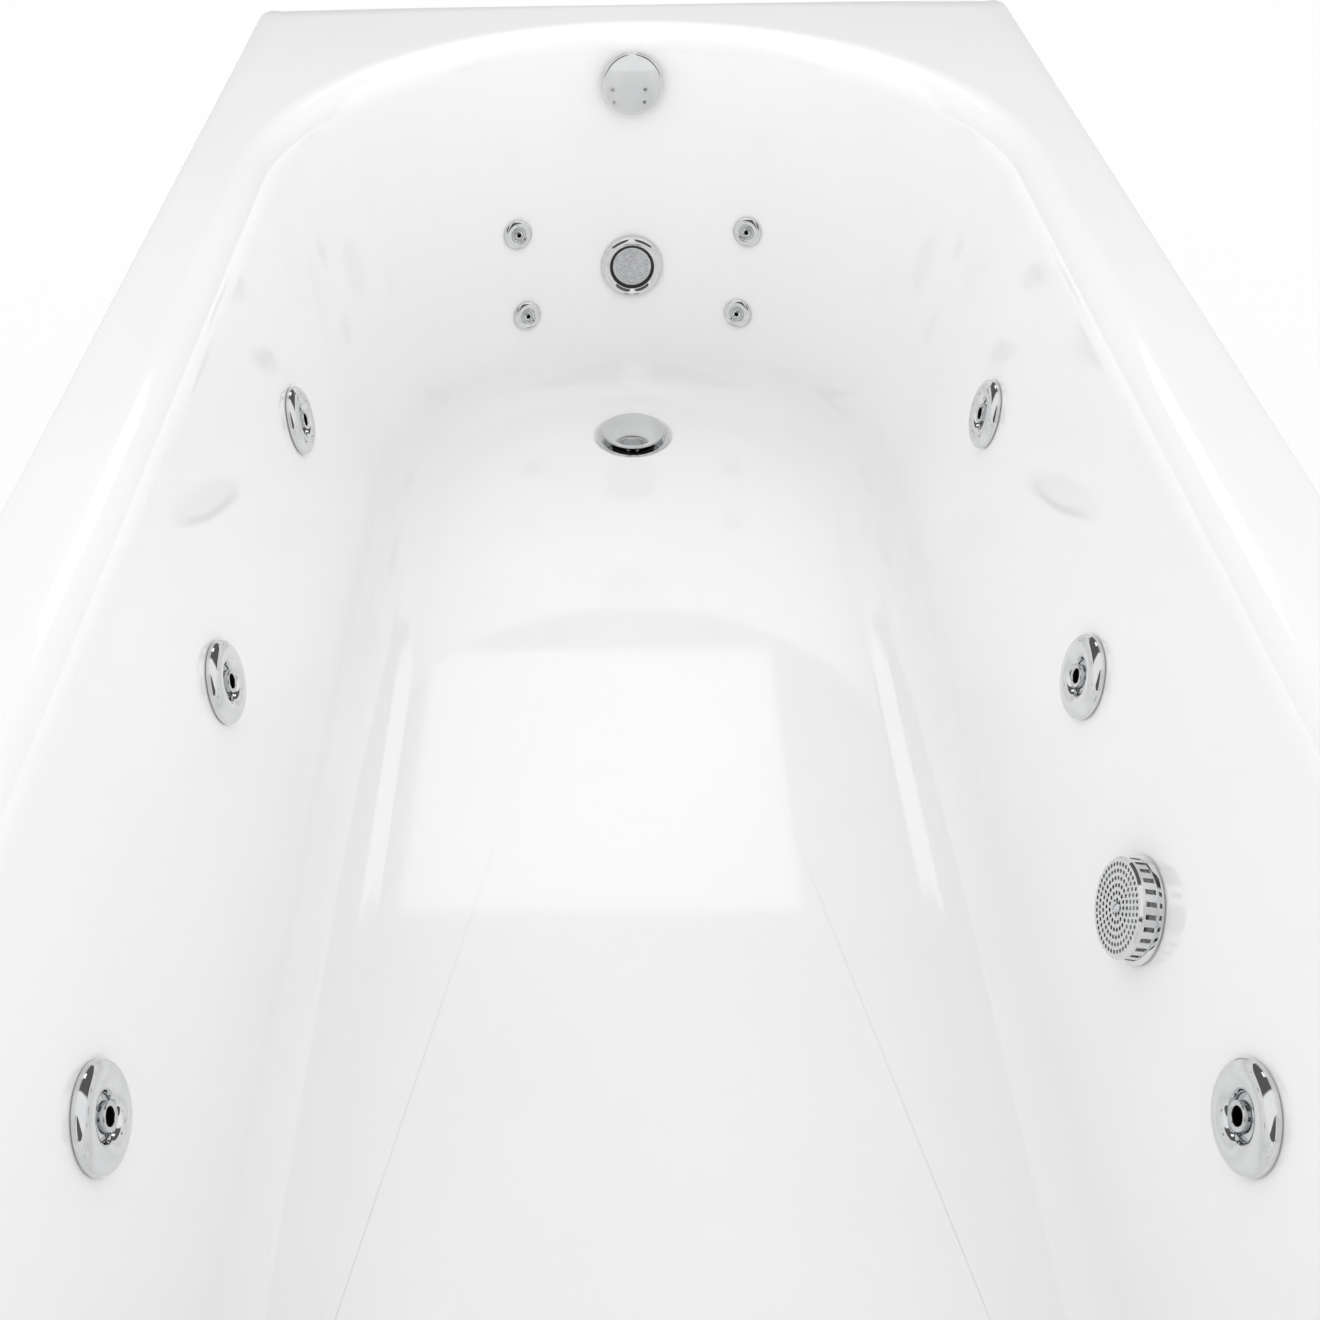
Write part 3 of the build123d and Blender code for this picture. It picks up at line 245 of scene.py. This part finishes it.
def local(points, plane):
    """Points given in a fitting's own directions: their offsets from its origin, projected on its axes."""
    return (points - plane[0]) @ plane[1:].T


inner, outer = np.vstack(faces_up), np.vstack(backs)
rows = len(faces_up)
corners = np.arange(rows * stations).reshape(rows, stations)
nexts = np.roll(corners, -1, axis=1)
quads = np.stack([corners[:-1], corners[1:], nexts[1:], nexts[:-1]], axis=-1).reshape(-1, 4)
middles = inner[quads].mean(1)
pipe_hole, micro_hole, light_hole = 0.0225, 0.0105, 0.029
holes = [(plane, pipe_hole) for plane in jets + [suction, overflow]]
holes += [(plane, micro_hole) for plane in micros] + [(light, light_hole)]
for plane, radius in holes:
    place = local(middles, plane)
    gone = (np.hypot(place[:, 0], place[:, 1]) < 0.95 * radius) & (np.abs(place[:, 2]) < 0.02)
    edge = np.intersect1d(quads[gone], quads[~gone])
    for points in (inner, outer):
        place = local(points[edge], plane)
        place[:, :2] *= radius / np.hypot(place[:, 0], place[:, 1])[:, None]
        points[edge] = plane[0] + place @ plane[1:]
    quads, middles = quads[~gone], middles[~gone]
sides = np.stack([quads, np.roll(quads, -1, axis=1)], axis=-1).reshape(-1, 2)
keys = np.sort(sides, axis=1) @ (10 ** 6, 1)
_, first, times = np.unique(keys, return_index=True, return_counts=True)
open_sides = sides[first[times == 1]]
total = len(inner)
start, stop = open_sides.T
walls = np.column_stack([stop, start, start + total, stop + total])
all_quads = np.vstack([quads, walls, quads[:, ::-1] + total])
used, renumbered = np.unique(all_quads, return_inverse=True)
shell_points = np.vstack([inner, outer])[used]
shell_faces = renumbered.reshape(-1, 4)
shell_coats = np.repeat([0, 1], [len(quads) + len(walls), len(quads)])
shell = linked("shell", shell_points, shell_faces.tolist(), face_material=shell_coats)
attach(shell, "tub")
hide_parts("bath_shell")

# The acrylic is clear glossed white with a faint ripple from moulding. The sprayed back is chopped glass
# strand in pale resin, rough and uneven.


def noise_group():
    """Object-space noise at two sizes: Shade is a slow mask from 0 to 1, Normal a fine relief."""
    group = bpy.data.node_groups.new("uneven_skin", "ShaderNodeTree")
    for label, value in (("Coarse", 8.0), ("Fine", 300.0), ("Relief", 0.1), ("Stretch", 1.0)):
        group.interface.new_socket(label, in_out="INPUT", socket_type="NodeSocketFloat").default_value = value
    group.interface.new_socket("Shade", in_out="OUTPUT", socket_type="NodeSocketFloat")
    group.interface.new_socket("Normal", in_out="OUTPUT", socket_type="NodeSocketVector")
    nodes, links = group.nodes, group.links
    values, results = nodes.new("NodeGroupInput"), nodes.new("NodeGroupOutput")
    place = nodes.new("ShaderNodeTexCoord")
    squash = nodes.new("ShaderNodeCombineXYZ")
    squash.inputs[1].default_value = squash.inputs[2].default_value = 1.0
    scaled = nodes.new("ShaderNodeVectorMath")
    scaled.operation = "MULTIPLY"
    slow, quick = nodes.new("ShaderNodeTexNoise"), nodes.new("ShaderNodeTexNoise")
    spread = nodes.new("ShaderNodeMapRange")
    bump = nodes.new("ShaderNodeBump")
    spread.inputs["From Min"].default_value, spread.inputs["From Max"].default_value = 0.3, 0.7
    slow.inputs["Detail"].default_value, quick.inputs["Detail"].default_value = 4.0, 3.0
    bump.inputs["Distance"].default_value = 0.0005
    links.new(values.outputs["Stretch"], squash.inputs[0])
    links.new(place.outputs["Object"], scaled.inputs[0])
    links.new(squash.outputs[0], scaled.inputs[1])
    links.new(scaled.outputs[0], slow.inputs["Vector"])
    links.new(scaled.outputs[0], quick.inputs["Vector"])
    links.new(values.outputs["Coarse"], slow.inputs["Scale"])
    links.new(values.outputs["Fine"], quick.inputs["Scale"])
    links.new(slow.outputs["Fac"], spread.inputs["Value"])
    links.new(spread.outputs["Result"], results.inputs["Shade"])
    links.new(quick.outputs["Fac"], bump.inputs["Height"])
    links.new(values.outputs["Relief"], bump.inputs["Strength"])
    links.new(bump.outputs["Normal"], results.inputs["Normal"])
    return group


skin_group = noise_group()


def finish_of(name, dark, bright, rough, metallic=0.0, coarse=8.0, fine=300.0, relief=0.1, stretch=1.0,
              **more):
    """A material whose colour runs between two shades, and its roughness between two levels, by noise."""
    material = bpy.data.materials.new(name)
    material.use_nodes = True
    tree = material.node_tree
    shader = tree.nodes["Principled BSDF"]
    skin_noise = tree.nodes.new("ShaderNodeGroup")
    skin_noise.node_tree = skin_group
    for label, value in (("Coarse", coarse), ("Fine", fine), ("Relief", relief), ("Stretch", stretch)):
        skin_noise.inputs[label].default_value = value
    tint = tree.nodes.new("ShaderNodeMix")
    tint.data_type = "RGBA"
    tint.inputs[6].default_value = (*dark, 1)
    tint.inputs[7].default_value = (*bright, 1)
    gloss = tree.nodes.new("ShaderNodeMapRange")
    gloss.inputs["To Min"].default_value, gloss.inputs["To Max"].default_value = rough
    tree.links.new(skin_noise.outputs["Shade"], tint.inputs[0])
    tree.links.new(skin_noise.outputs["Shade"], gloss.inputs["Value"])
    tree.links.new(tint.outputs[2], shader.inputs["Base Color"])
    tree.links.new(gloss.outputs["Result"], shader.inputs["Roughness"])
    tree.links.new(skin_noise.outputs["Normal"], shader.inputs["Normal"])
    shader.inputs["Metallic"].default_value = metallic
    for label, value in more.items():
        shader.inputs[label.replace("_", " ")].default_value = value
    return material


def patterned(material, texture, relief, distance, spots=None, amount=1.0):
    """Adds a second texture to a material: a relief under the first, and another colour where it is high."""
    tree = material.node_tree
    shader = tree.nodes["Principled BSDF"]
    place = tree.nodes.new("ShaderNodeTexCoord")
    pattern = tree.nodes.new(texture)
    tree.links.new(place.outputs["Object"], pattern.inputs["Vector"])
    bump = tree.nodes.new("ShaderNodeBump")
    bump.inputs["Strength"].default_value, bump.inputs["Distance"].default_value = relief, distance
    tree.links.new(shader.inputs["Normal"].links[0].from_socket, bump.inputs["Normal"])
    tree.links.new(pattern.outputs[0], bump.inputs["Height"])
    tree.links.new(bump.outputs["Normal"], shader.inputs["Normal"])
    if spots:
        mix = tree.nodes.new("ShaderNodeMix")
        mix.data_type = "RGBA"
        mix.inputs[7].default_value = (*spots, 1)
        share = tree.nodes.new("ShaderNodeMapRange")
        share.inputs["To Max"].default_value = amount
        tree.links.new(pattern.outputs[1 if texture == "ShaderNodeTexVoronoi" else 0], share.inputs["Value"])
        tree.links.new(share.outputs["Result"], mix.inputs[0])
        tree.links.new(shader.inputs["Base Color"].links[0].from_socket, mix.inputs[6])
        tree.links.new(mix.outputs[2], shader.inputs["Base Color"])
    return pattern


acrylic = finish_of("white_acrylic", (0.915, 0.915, 0.915), (0.935, 0.935, 0.933), (0.05, 0.09), coarse=5.0,
                    fine=45.0, relief=0.02, IOR=1.49, Coat_Weight=0.3)
glass_mat = finish_of("glass_fibre_back", (0.60, 0.57, 0.49), (0.74, 0.72, 0.64), (0.45, 0.65), coarse=25.0,
                      fine=260.0, relief=0.8)
strands = patterned(glass_mat, "ShaderNodeTexNoise", 0.7, 0.0012, (0.82, 0.80, 0.73), 0.6)
strands.inputs["Scale"].default_value, strands.inputs["Distortion"].default_value = 60.0, 6.0
shell.data.materials.append(acrylic)
shell.data.materials.append(glass_mat)


def dress(material, *names):
    """Gives CAD pieces a finish, each on a copy with its triangles merged, and gives back the last copy."""
    for label in names:
        node = frame["nodes"][label]
        mesh = node.data
        points = np.zeros(len(mesh.vertices) * 3)
        mesh.vertices.foreach_get("co", points)
        corners_of = np.zeros(len(mesh.loops), int)
        mesh.loops.foreach_get("vertex_index", corners_of)
        triangles = corners_of.reshape(-1, 3).tolist()
        piece = linked(label + "_skin", points.reshape(-1, 3), triangles, [material])
        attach(piece, node["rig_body"])
        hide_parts(label)
    return piece


chipboard = finish_of("resined_chipboard", (0.33, 0.24, 0.14), (0.50, 0.38, 0.24), (0.35, 0.55), coarse=14.0,
                      fine=180.0, relief=0.5)
chips = patterned(chipboard, "ShaderNodeTexVoronoi", 0.3, 0.0006, (0.60, 0.50, 0.34), 0.5)
chips.inputs["Scale"].default_value = 220.0
dress(chipboard, "base_board", "rim_battens")

# Legs: folded steel channels and threaded rod, zinc plated, with rubber shoes under the studs. The zinc is
# bright with a fine crystal pattern.
zinc = finish_of("zinc_plate", (0.50, 0.51, 0.52), (0.68, 0.69, 0.70), (0.28, 0.45), metallic=1.0,
                 coarse=30.0, fine=500.0, relief=0.15)
crystals = patterned(zinc, "ShaderNodeTexVoronoi", 0.05, 0.0002, (0.80, 0.82, 0.84), 0.35)
crystals.inputs["Scale"].default_value = 160.0
rubber = finish_of("moulded_rubber", (0.012, 0.012, 0.013), (0.03, 0.03, 0.031), (0.55, 0.75), coarse=20.0,
                   fine=700.0, relief=0.4)
dress(zinc, "leg_cradles", "foot_studs", "leg_fasteners", "pump_tray")
dress(rubber, "foot_pads", "pump_feet", "seals")

# Side jets: a chrome plated ring with a wide domed face turns in a moulded cup behind the wall. It holds a
# chrome ball with a short snout, which swivels and has the water's bore through it.


def softened(corners_in, cut, steps=6):
    """Rounds a profile's corners: each becomes a parabola that leaves both sides at its cut length."""
    points = []
    for k, (r, h, *own) in enumerate(corners_in):
        length_cut = own[0] if own else cut
        here = np.array([r, h])
        before, after = np.array(corners_in[k - 1][:2]), np.array(corners_in[(k + 1) % len(corners_in)][:2])
        if length_cut == 0:
            points.append(here)
            continue
        start = here + (before - here) * min(0.48, length_cut / np.linalg.norm(before - here))
        stop = here + (after - here) * min(0.48, length_cut / np.linalg.norm(after - here))
        t = np.linspace(0, 1, steps)[:, None]
        points.extend((1 - t) ** 2 * start + 2 * t * (1 - t) * here + t ** 2 * stop)
    return np.array(points) / 1000


def turned(name, planes, profile, material, body, node=None, around=72, closed=True, sharp=30):
    """A lathe shape on each plane: the profile's (radius, height) points are carried round the plane's Z."""
    angle = np.arange(around) * 2 * pi / around
    count = len(profile)
    radius, up = profile[:, 0], profile[:, 1]
    x, y, z = np.outer(radius, np.cos(angle)), np.outer(radius, np.sin(angle)), np.outer(up, 0 * angle + 1)
    local_points = np.stack([x, y, z], axis=-1).reshape(-1, 3)
    index = np.arange(count * around).reshape(count, around)
    upper = np.roll(index, -1, axis=0) if closed else index[1:]
    index = index if closed else index[:-1]
    ring = np.stack([index, np.roll(index, -1, axis=1), np.roll(upper, -1, axis=1), upper], axis=-1)
    ring = ring.reshape(-1, 4)
    points = np.vstack([plane[0] + local_points @ plane[1:] for plane in planes])
    faces = np.vstack([ring + k * count * around for k in range(len(planes))])
    piece = linked(name, points, faces.tolist(), [material], sharp)
    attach(piece, body)
    if node:
        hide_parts(node)
    return piece


chrome = finish_of("chrome_plate", (0.70, 0.71, 0.72), (0.76, 0.765, 0.77), (0.02, 0.05), metallic=1.0,
                   coarse=40.0, fine=120.0, relief=0.004)
# A darker and rougher copy of the chrome for the parts that sit deep in their fittings: the jet swivels, the
# micro nozzles, the suction screw and the waste flange. Its darker colour is painted shade.
chrome_painted_shade = finish_of("chrome_plate_painted_shade", (0.55, 0.56, 0.57), (0.68, 0.69, 0.70), (0.06, 0.15),
                          metallic=1.0, coarse=90.0, fine=300.0, relief=0.02)
white_moulding = finish_of("white_moulding", (0.62, 0.62, 0.60), (0.72, 0.72, 0.70), (0.32, 0.45),
                           coarse=25.0, fine=600.0, relief=0.12)
jet_ring_profile = softened(
    [(12.8, -20, 0), (18.95, -20, 0), (18.95, 3.3, 0), (27.4, 3.3, 0), (27.4, 0.8, 0), (29.6, 0.8, 0.4),
     (29.8, 4.6, 2.2), (25.5, 8.2, 4.0), (19, 9.1, 4.0), (13.9, 6.6, 1.4), (12.3, 3.2, 0.3), (13.8, -0.5, 1),
     (13.8, -4.5, 1)], 0.3)
jet_nozzle_profile = softened(
    [(5.2, -10.9, 0), (10.9, -10.9, 0), (13.2, -7.6, 1.8), (13.6, -3, 2.5), (13.2, 0.6, 1.5),
     (12.3, 2.5, 0.3), (8.2, 3.6, 0.6), (8, 8, 0.5), (7, 8.5, 0.4), (5.2, 7.8, 0.3)], 0.3)
for number, plane in enumerate(jets, 1):
    turned(f"jet_{number}_ring_dome", [plane], jet_ring_profile, chrome, f"ring_{number}",
           f"jet_ring_{number}")
    turned(f"jet_{number}_swivel", [plane], jet_nozzle_profile, chrome_painted_shade, f"nozzle_{number}",
           f"jet_nozzle_{number}", around=48)
dress(white_moulding, "jet_bodies", "micro_bodies", "suction_body", "light_housing", "clamp_nuts",
      "pump_unions")

# Micro jets: small chrome discs pressed on a moulded cup, with a fixed nozzle in a dished middle. Four are
# on the foot wall and four on the backrest.
micro_disc_profile = softened(
    [(6.2, -6, 0), (6.9, -6, 0), (6.9, 2.5, 0), (13.2, 2.5, 0), (13.2, 1.3, 0), (16.2, 1.3, 0.3),
     (16.2, 3.0, 1.0), (13.6, 4.8, 1.8), (9.2, 5.1, 1.2), (7.2, 2.6, 0.5), (6.2, 2.6, 0)], 0.3)
micro_nozzle_profile = softened(
    [(2.2, -5, 0), (6.2, -5, 0), (6.2, 2.4, 0.2), (4.6, 4.9, 0.7), (3.0, 5.6, 0.4), (2.2, 4.8, 0.2)], 0.3)
turned("micro_jet_discs", micros, micro_disc_profile, chrome, "tub", "micro_rims", around=56)
turned("micro_jet_nozzles", micros, micro_nozzle_profile, chrome_painted_shade, "tub", "micro_nozzles", around=40)

# Suction cap: a chrome plated cup, drilled with rings of small holes and slotted round its side. It sits on a
# moulded elbow and is held by one slotted screw.
dress(chrome, "suction_cover")
dress(chrome_painted_shade, "suction_screw")

# Underwater light: a chrome bezel screwed over a prismatic lens, with a black gasket between them.
bezel_profile = softened(
    [(24.4, 4.1, 0), (32.2, 4.1, 0), (32.2, 2.6, 0), (34.4, 2.6, 0.2), (34.4, 4.0, 0.8), (32.6, 7.4, 1.8),
     (28.6, 8.7, 1.8), (24.6, 6.6, 1.0), (24.4, 5, 0.3)], 0.3)
gasket_profile = softened(
    [(21.3, 0, 0), (25.8, 0, 0), (25.8, 3.4, 0), (23.2, 3.9, 0.5), (21.3, 3.4, 0.3)], 0.3)
turned("light_bezel_ring", [light], bezel_profile, chrome, "tub", "light_bezel", around=96)
turned("light_gasket", [light], gasket_profile, rubber, "tub")


def prism_lens():
    """Rings from the bottom's middle, up the side and over the dome. Its relief is a sum of three cosines."""
    around, rings, edge, crown, prism_pitch, prism_height = 200, 56, 21.2, 1.6, 2.5, 0.3
    radius = np.concatenate([[0, edge + 0.1, edge + 0.1], edge * (1 - np.linspace(0, 1, rings))])
    dome = np.concatenate([[-3, -3, 2.6], 3.2 + crown * (1 - (radius[3:] / edge) ** 2)])
    angle = np.arange(around) * 2 * pi / around
    x, y = np.outer(radius, np.cos(angle)), np.outer(radius, np.sin(angle))
    waves = 2 * pi / prism_pitch
    prisms = sum(np.cos(waves * (x * cos(k * pi / 3) + y * sin(k * pi / 3))) for k in range(3))
    fade = np.clip(edge - 0.6 - radius, 0, 1)
    fade[:3] = 0
    z = dome[:, None] + prism_height * prisms * fade[:, None]
    points = np.stack([x, y, z], axis=-1).reshape(-1, 3) / 1000
    index = np.arange(len(radius) * around).reshape(-1, around)
    ring = np.stack([index[:-1], np.roll(index[:-1], -1, 1), np.roll(index[1:], -1, 1), index[1:]], -1)
    return light[0] + points @ light[1:], ring.reshape(-1, 4).tolist()


lens_plastic = finish_of("prismatic_lens", (0.50, 0.51, 0.52), (0.68, 0.69, 0.70), (0.08, 0.16),
                         metallic=0.45, coarse=200.0, fine=900.0, relief=0.05, Coat_Weight=0.6)
lens = linked("light_prisms", *prism_lens(), [lens_plastic], sharp=60)
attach(lens, "tub")
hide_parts("light_lens")

# Overflow: a thick mirror bright disc that stands off the wall, so that water runs in behind it. Its cable
# holds the plug up, and a quarter turn lets it down. The face is part of a large sphere, as such a disc's is.
knob_face_radius = 539
knob_face = [(r, 16 - r * r / (2 * knob_face_radius), 0) for r in range(28, -1, -2)]
knob_profile = softened(
    [(0, -32, 0), (6, -32, 0.3), (6, 7, 0), (29.8, 7, 1.2), (31.6, 9, 1.0), (31.6, 13.4, 1.2),
     (29.8, 15.2, 1.2)] + knob_face, 0.3)
turned("overflow_knob_disc", [overflow], knob_profile, chrome, "knob", "overflow_knob", around=128,
       closed=False)

# Waste: a chrome flange drawn down into the dish, and the pop-up plug with its rubber washer. The plug's cap
# is a low dome, so that it mirrors the light above it smaller than it is.
plug_face_radius = 330
plug_face = [(r, 9 - r * r / (2 * plug_face_radius), 0) for r in range(30, -1, -2)]
plug_profile = softened(
    [(0, -50, 0), (4, -50, 0.3), (4, 3, 0), (33.8, 3, 0.4), (34.3, 3.6, 0.2), (34.3, 7.2, 0.6),
     (33.0, 7.4, 0.8)] + plug_face, 0.3)
turned("waste_plug_cap", [waste], plug_profile, chrome, "plug", "waste_plug", around=128, closed=False)
dress(rubber, "plug_seal")
dress(chrome_painted_shade, "waste_flange")
grey_moulding = finish_of("grey_moulding", (0.26, 0.27, 0.28), (0.34, 0.35, 0.36), (0.35, 0.5), coarse=20.0,
                          fine=500.0, relief=0.15)
black_moulding = finish_of("black_moulding", (0.016, 0.016, 0.017), (0.03, 0.03, 0.032), (0.35, 0.5),
                           coarse=20.0, fine=600.0, relief=0.2)
dress(grey_moulding, "overflow_body", "waste_body", "waste_trap", "overflow_pipe")
dress(black_moulding, "popup_cable")

# Pump: a finned motor in grey paint on rubber feet, with its volute, impeller, fan and fan cover moulded in
# black. One ground steel shaft in two bearings carries the impeller and the fan.
motor_paint = finish_of("motor_paint", (0.15, 0.17, 0.19), (0.21, 0.23, 0.25), (0.32, 0.5), metallic=0.2,
                        coarse=25.0, fine=350.0, relief=0.5)
ground_steel = finish_of("ground_steel", (0.48, 0.48, 0.49), (0.62, 0.62, 0.63), (0.2, 0.35), metallic=1.0,
                         coarse=60.0, fine=900.0, relief=0.1, stretch=0.05)
dress(motor_paint, "pump_motor")
dress(black_moulding, "pump_fan_cover", "terminal_box", "pump_volute", "pump_impeller", "pump_fan")
dress(ground_steel, "pump_bearings", "pump_shaft")

# Pipes: rigid white pipe for the water, milky hose for the air and the micro jets. Both are extruded, so
# their skin is smooth with faint lines along it.
white_pipe = finish_of("white_pipe", (0.66, 0.66, 0.64), (0.76, 0.76, 0.74), (0.18, 0.32), coarse=12.0,
                       fine=260.0, relief=0.1, stretch=0.1)
milky_hose = finish_of("milky_hose", (0.56, 0.58, 0.57), (0.68, 0.70, 0.69), (0.2, 0.35), coarse=16.0,
                       fine=300.0, relief=0.1, stretch=0.1, Transmission_Weight=0.25, Subsurface_Weight=0.2)
dress(white_pipe, "suction_pipe", "water_pipes")
dress(milky_hose, "micro_pipes", "air_pipes", "air_switch_tube")

# Controls in the rim's head corners: a fluted air knob and a domed push button, both chrome plated. A rubber
# bellows under the button is pressed together as it goes down.
dress(chrome, "control_bodies", "air_knob", "power_button")
bellows = dress(rubber, "button_bellows")
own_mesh(bellows)

# Studio: a pale floor, a white surround, a softbox over the bath and the photograph's camera. Dark fields in
# the surround, which only reflections see, stand for the dark room that the chrome mirrors.
floor_mesh = bpy.data.meshes.new("studio_floor")
floor_half, floor_down, floor_glow = 8, 0.0005, 0.85
corner_signs = ((-1, -1), (1, -1), (1, 1), (-1, 1))
floor_corners = [(x * floor_half, y * floor_half, -floor_down) for x, y in corner_signs]
floor_mesh.from_pydata(floor_corners, [], [(0, 1, 2, 3)])
floor = bpy.data.objects.new("studio_floor", floor_mesh)
bpy.context.scene.collection.objects.link(floor)


def any_sight(nodes, links, rays):
    """One where a ray comes from the camera, a glossy surface or through glass, and zero for other rays."""
    most = rays.outputs["Is Camera Ray"]
    for kind in ("Is Glossy Ray", "Is Transmission Ray"):
        step = nodes.new("ShaderNodeMath")
        step.operation = "MAXIMUM"
        links.new(most, step.inputs[0])
        links.new(rays.outputs[kind], step.inputs[1])
        most = step.outputs[0]
    return most


floor_paint = bpy.data.materials.new("pale_floor")
floor_paint.use_nodes = True
nodes, links = floor_paint.node_tree.nodes, floor_paint.node_tree.links
paint = nodes["Principled BSDF"]
paint.inputs["Base Color"].default_value = (0.86, 0.86, 0.86, 1)
paint.inputs["Roughness"].default_value = 0.7
glow, blend = nodes.new("ShaderNodeEmission"), nodes.new("ShaderNodeMixShader")
rays = nodes.new("ShaderNodeLightPath")
seen = nodes.new("ShaderNodeMath")
seen.operation = "MULTIPLY"
seen.inputs[1].default_value = floor_glow
links.new(any_sight(nodes, links, rays), seen.inputs[0])
links.new(seen.outputs[0], blend.inputs[0])
links.new(paint.outputs[0], blend.inputs[1])
links.new(glow.outputs[0], blend.inputs[2])
links.new(blend.outputs[0], nodes["Material Output"].inputs["Surface"])
floor_mesh.materials.append(floor_paint)

world = bpy.data.worlds.new("white_surround")
bpy.context.scene.world = world
world.use_nodes = True
nodes, links = world.node_tree.nodes, world.node_tree.links


def ramp(source, low, high, start, stop):
    """A straight ramp of a value, from start where the value is low to stop where it is high."""
    step = nodes.new("ShaderNodeMapRange")
    for label, value in (("From Min", low), ("From Max", high), ("To Min", start), ("To Max", stop)):
        step.inputs[label].default_value = value
    links.new(source, step.inputs["Value"])
    return step.outputs["Result"]


def joined(operation, first, second):
    """One value made from two by a math node."""
    step = nodes.new("ShaderNodeMath")
    step.operation = operation
    links.new(first, step.inputs[0])
    links.new(second, step.inputs[1])
    return step.outputs[0]


toward, split = nodes.new("ShaderNodeTexCoord"), nodes.new("ShaderNodeSeparateXYZ")
links.new(toward.outputs["Generated"], split.inputs[0])
lit = nodes["Background"]
lit.inputs["Color"].default_value = (1, 1, 1, 1)
along, upward = split.outputs["X"], split.outputs["Z"]
head_light, foot_light, field_strength = 1.32, 0.88, 0.12
links.new(ramp(along, -1.0, 1.0, head_light, foot_light), lit.inputs["Strength"])
side = nodes.new("ShaderNodeMath")
side.operation = "ABSOLUTE"
links.new(split.outputs["Y"], side.inputs[0])
behind = joined("MULTIPLY", ramp(along, -0.45, -0.4, 1.0, 0.0), ramp(side.outputs[0], 0.08, 0.1, 0.0, 1.0))
behind = joined("MULTIPLY", behind, ramp(upward, 0.1, 0.14, 0.0, 1.0))
behind = joined("MULTIPLY", behind, ramp(upward, 0.93, 0.96, 1.0, 0.0))
beyond = joined("MULTIPLY", ramp(along, 0.3, 0.36, 0.0, 1.0), ramp(upward, 0.08, 0.1, 0.0, 1.0))
beyond = joined("MULTIPLY", beyond, ramp(upward, 0.93, 0.97, 1.0, 0.0))
shadow = joined("MAXIMUM", behind, beyond)
plain, blend = nodes.new("ShaderNodeBackground"), nodes.new("ShaderNodeMixShader")
rays = nodes.new("ShaderNodeLightPath")
mirrored_shadow = joined("MULTIPLY", shadow, rays.outputs["Is Glossy Ray"])
links.new(ramp(mirrored_shadow, 0.0, 1.0, 1.0, field_strength), plain.inputs["Strength"])
plain.inputs["Color"].default_value = (1, 1, 1, 1)
links.new(any_sight(nodes, links, rays), blend.inputs[0])
links.new(lit.outputs[0], blend.inputs[1])
links.new(plain.outputs[0], blend.inputs[2])
links.new(blend.outputs[0], nodes["World Output"].inputs["Surface"])

softbox = bpy.data.lights.new("softbox", "AREA")
softbox.shape, softbox.size, softbox.size_y, softbox.energy = "RECTANGLE", 1.11, 1.13, 5.5
lamp = bpy.data.objects.new("softbox", softbox)
lamp.location = (2.49, 0.055, 2.6)
bpy.context.scene.collection.objects.link(lamp)

eye = bpy.data.cameras.new("photo_camera")
eye.lens, eye.sensor_width, eye.shift_x, eye.shift_y = 40.909, 36.0, 0.06205, -0.0429
camera = bpy.data.objects.new("photo_camera", eye)
eye_place = (-0.765, 0.030, 1.1183)
right = (0.01072706, -0.99978175, -0.0179269)
down = (-0.63444255, 0.00705221, -0.77293784)
ahead = (0.77289558, 0.01966494, -0.63422844)
camera_rows = [(right[k], -down[k], -ahead[k], eye_place[k]) for k in range(3)]
camera.matrix_world = Matrix(camera_rows + [(0, 0, 0, 1)])
bpy.context.scene.collection.objects.link(camera)
bpy.context.scene.camera = camera
bpy.context.scene.view_settings.view_transform = "Standard"

bpy.context.view_layer.update()
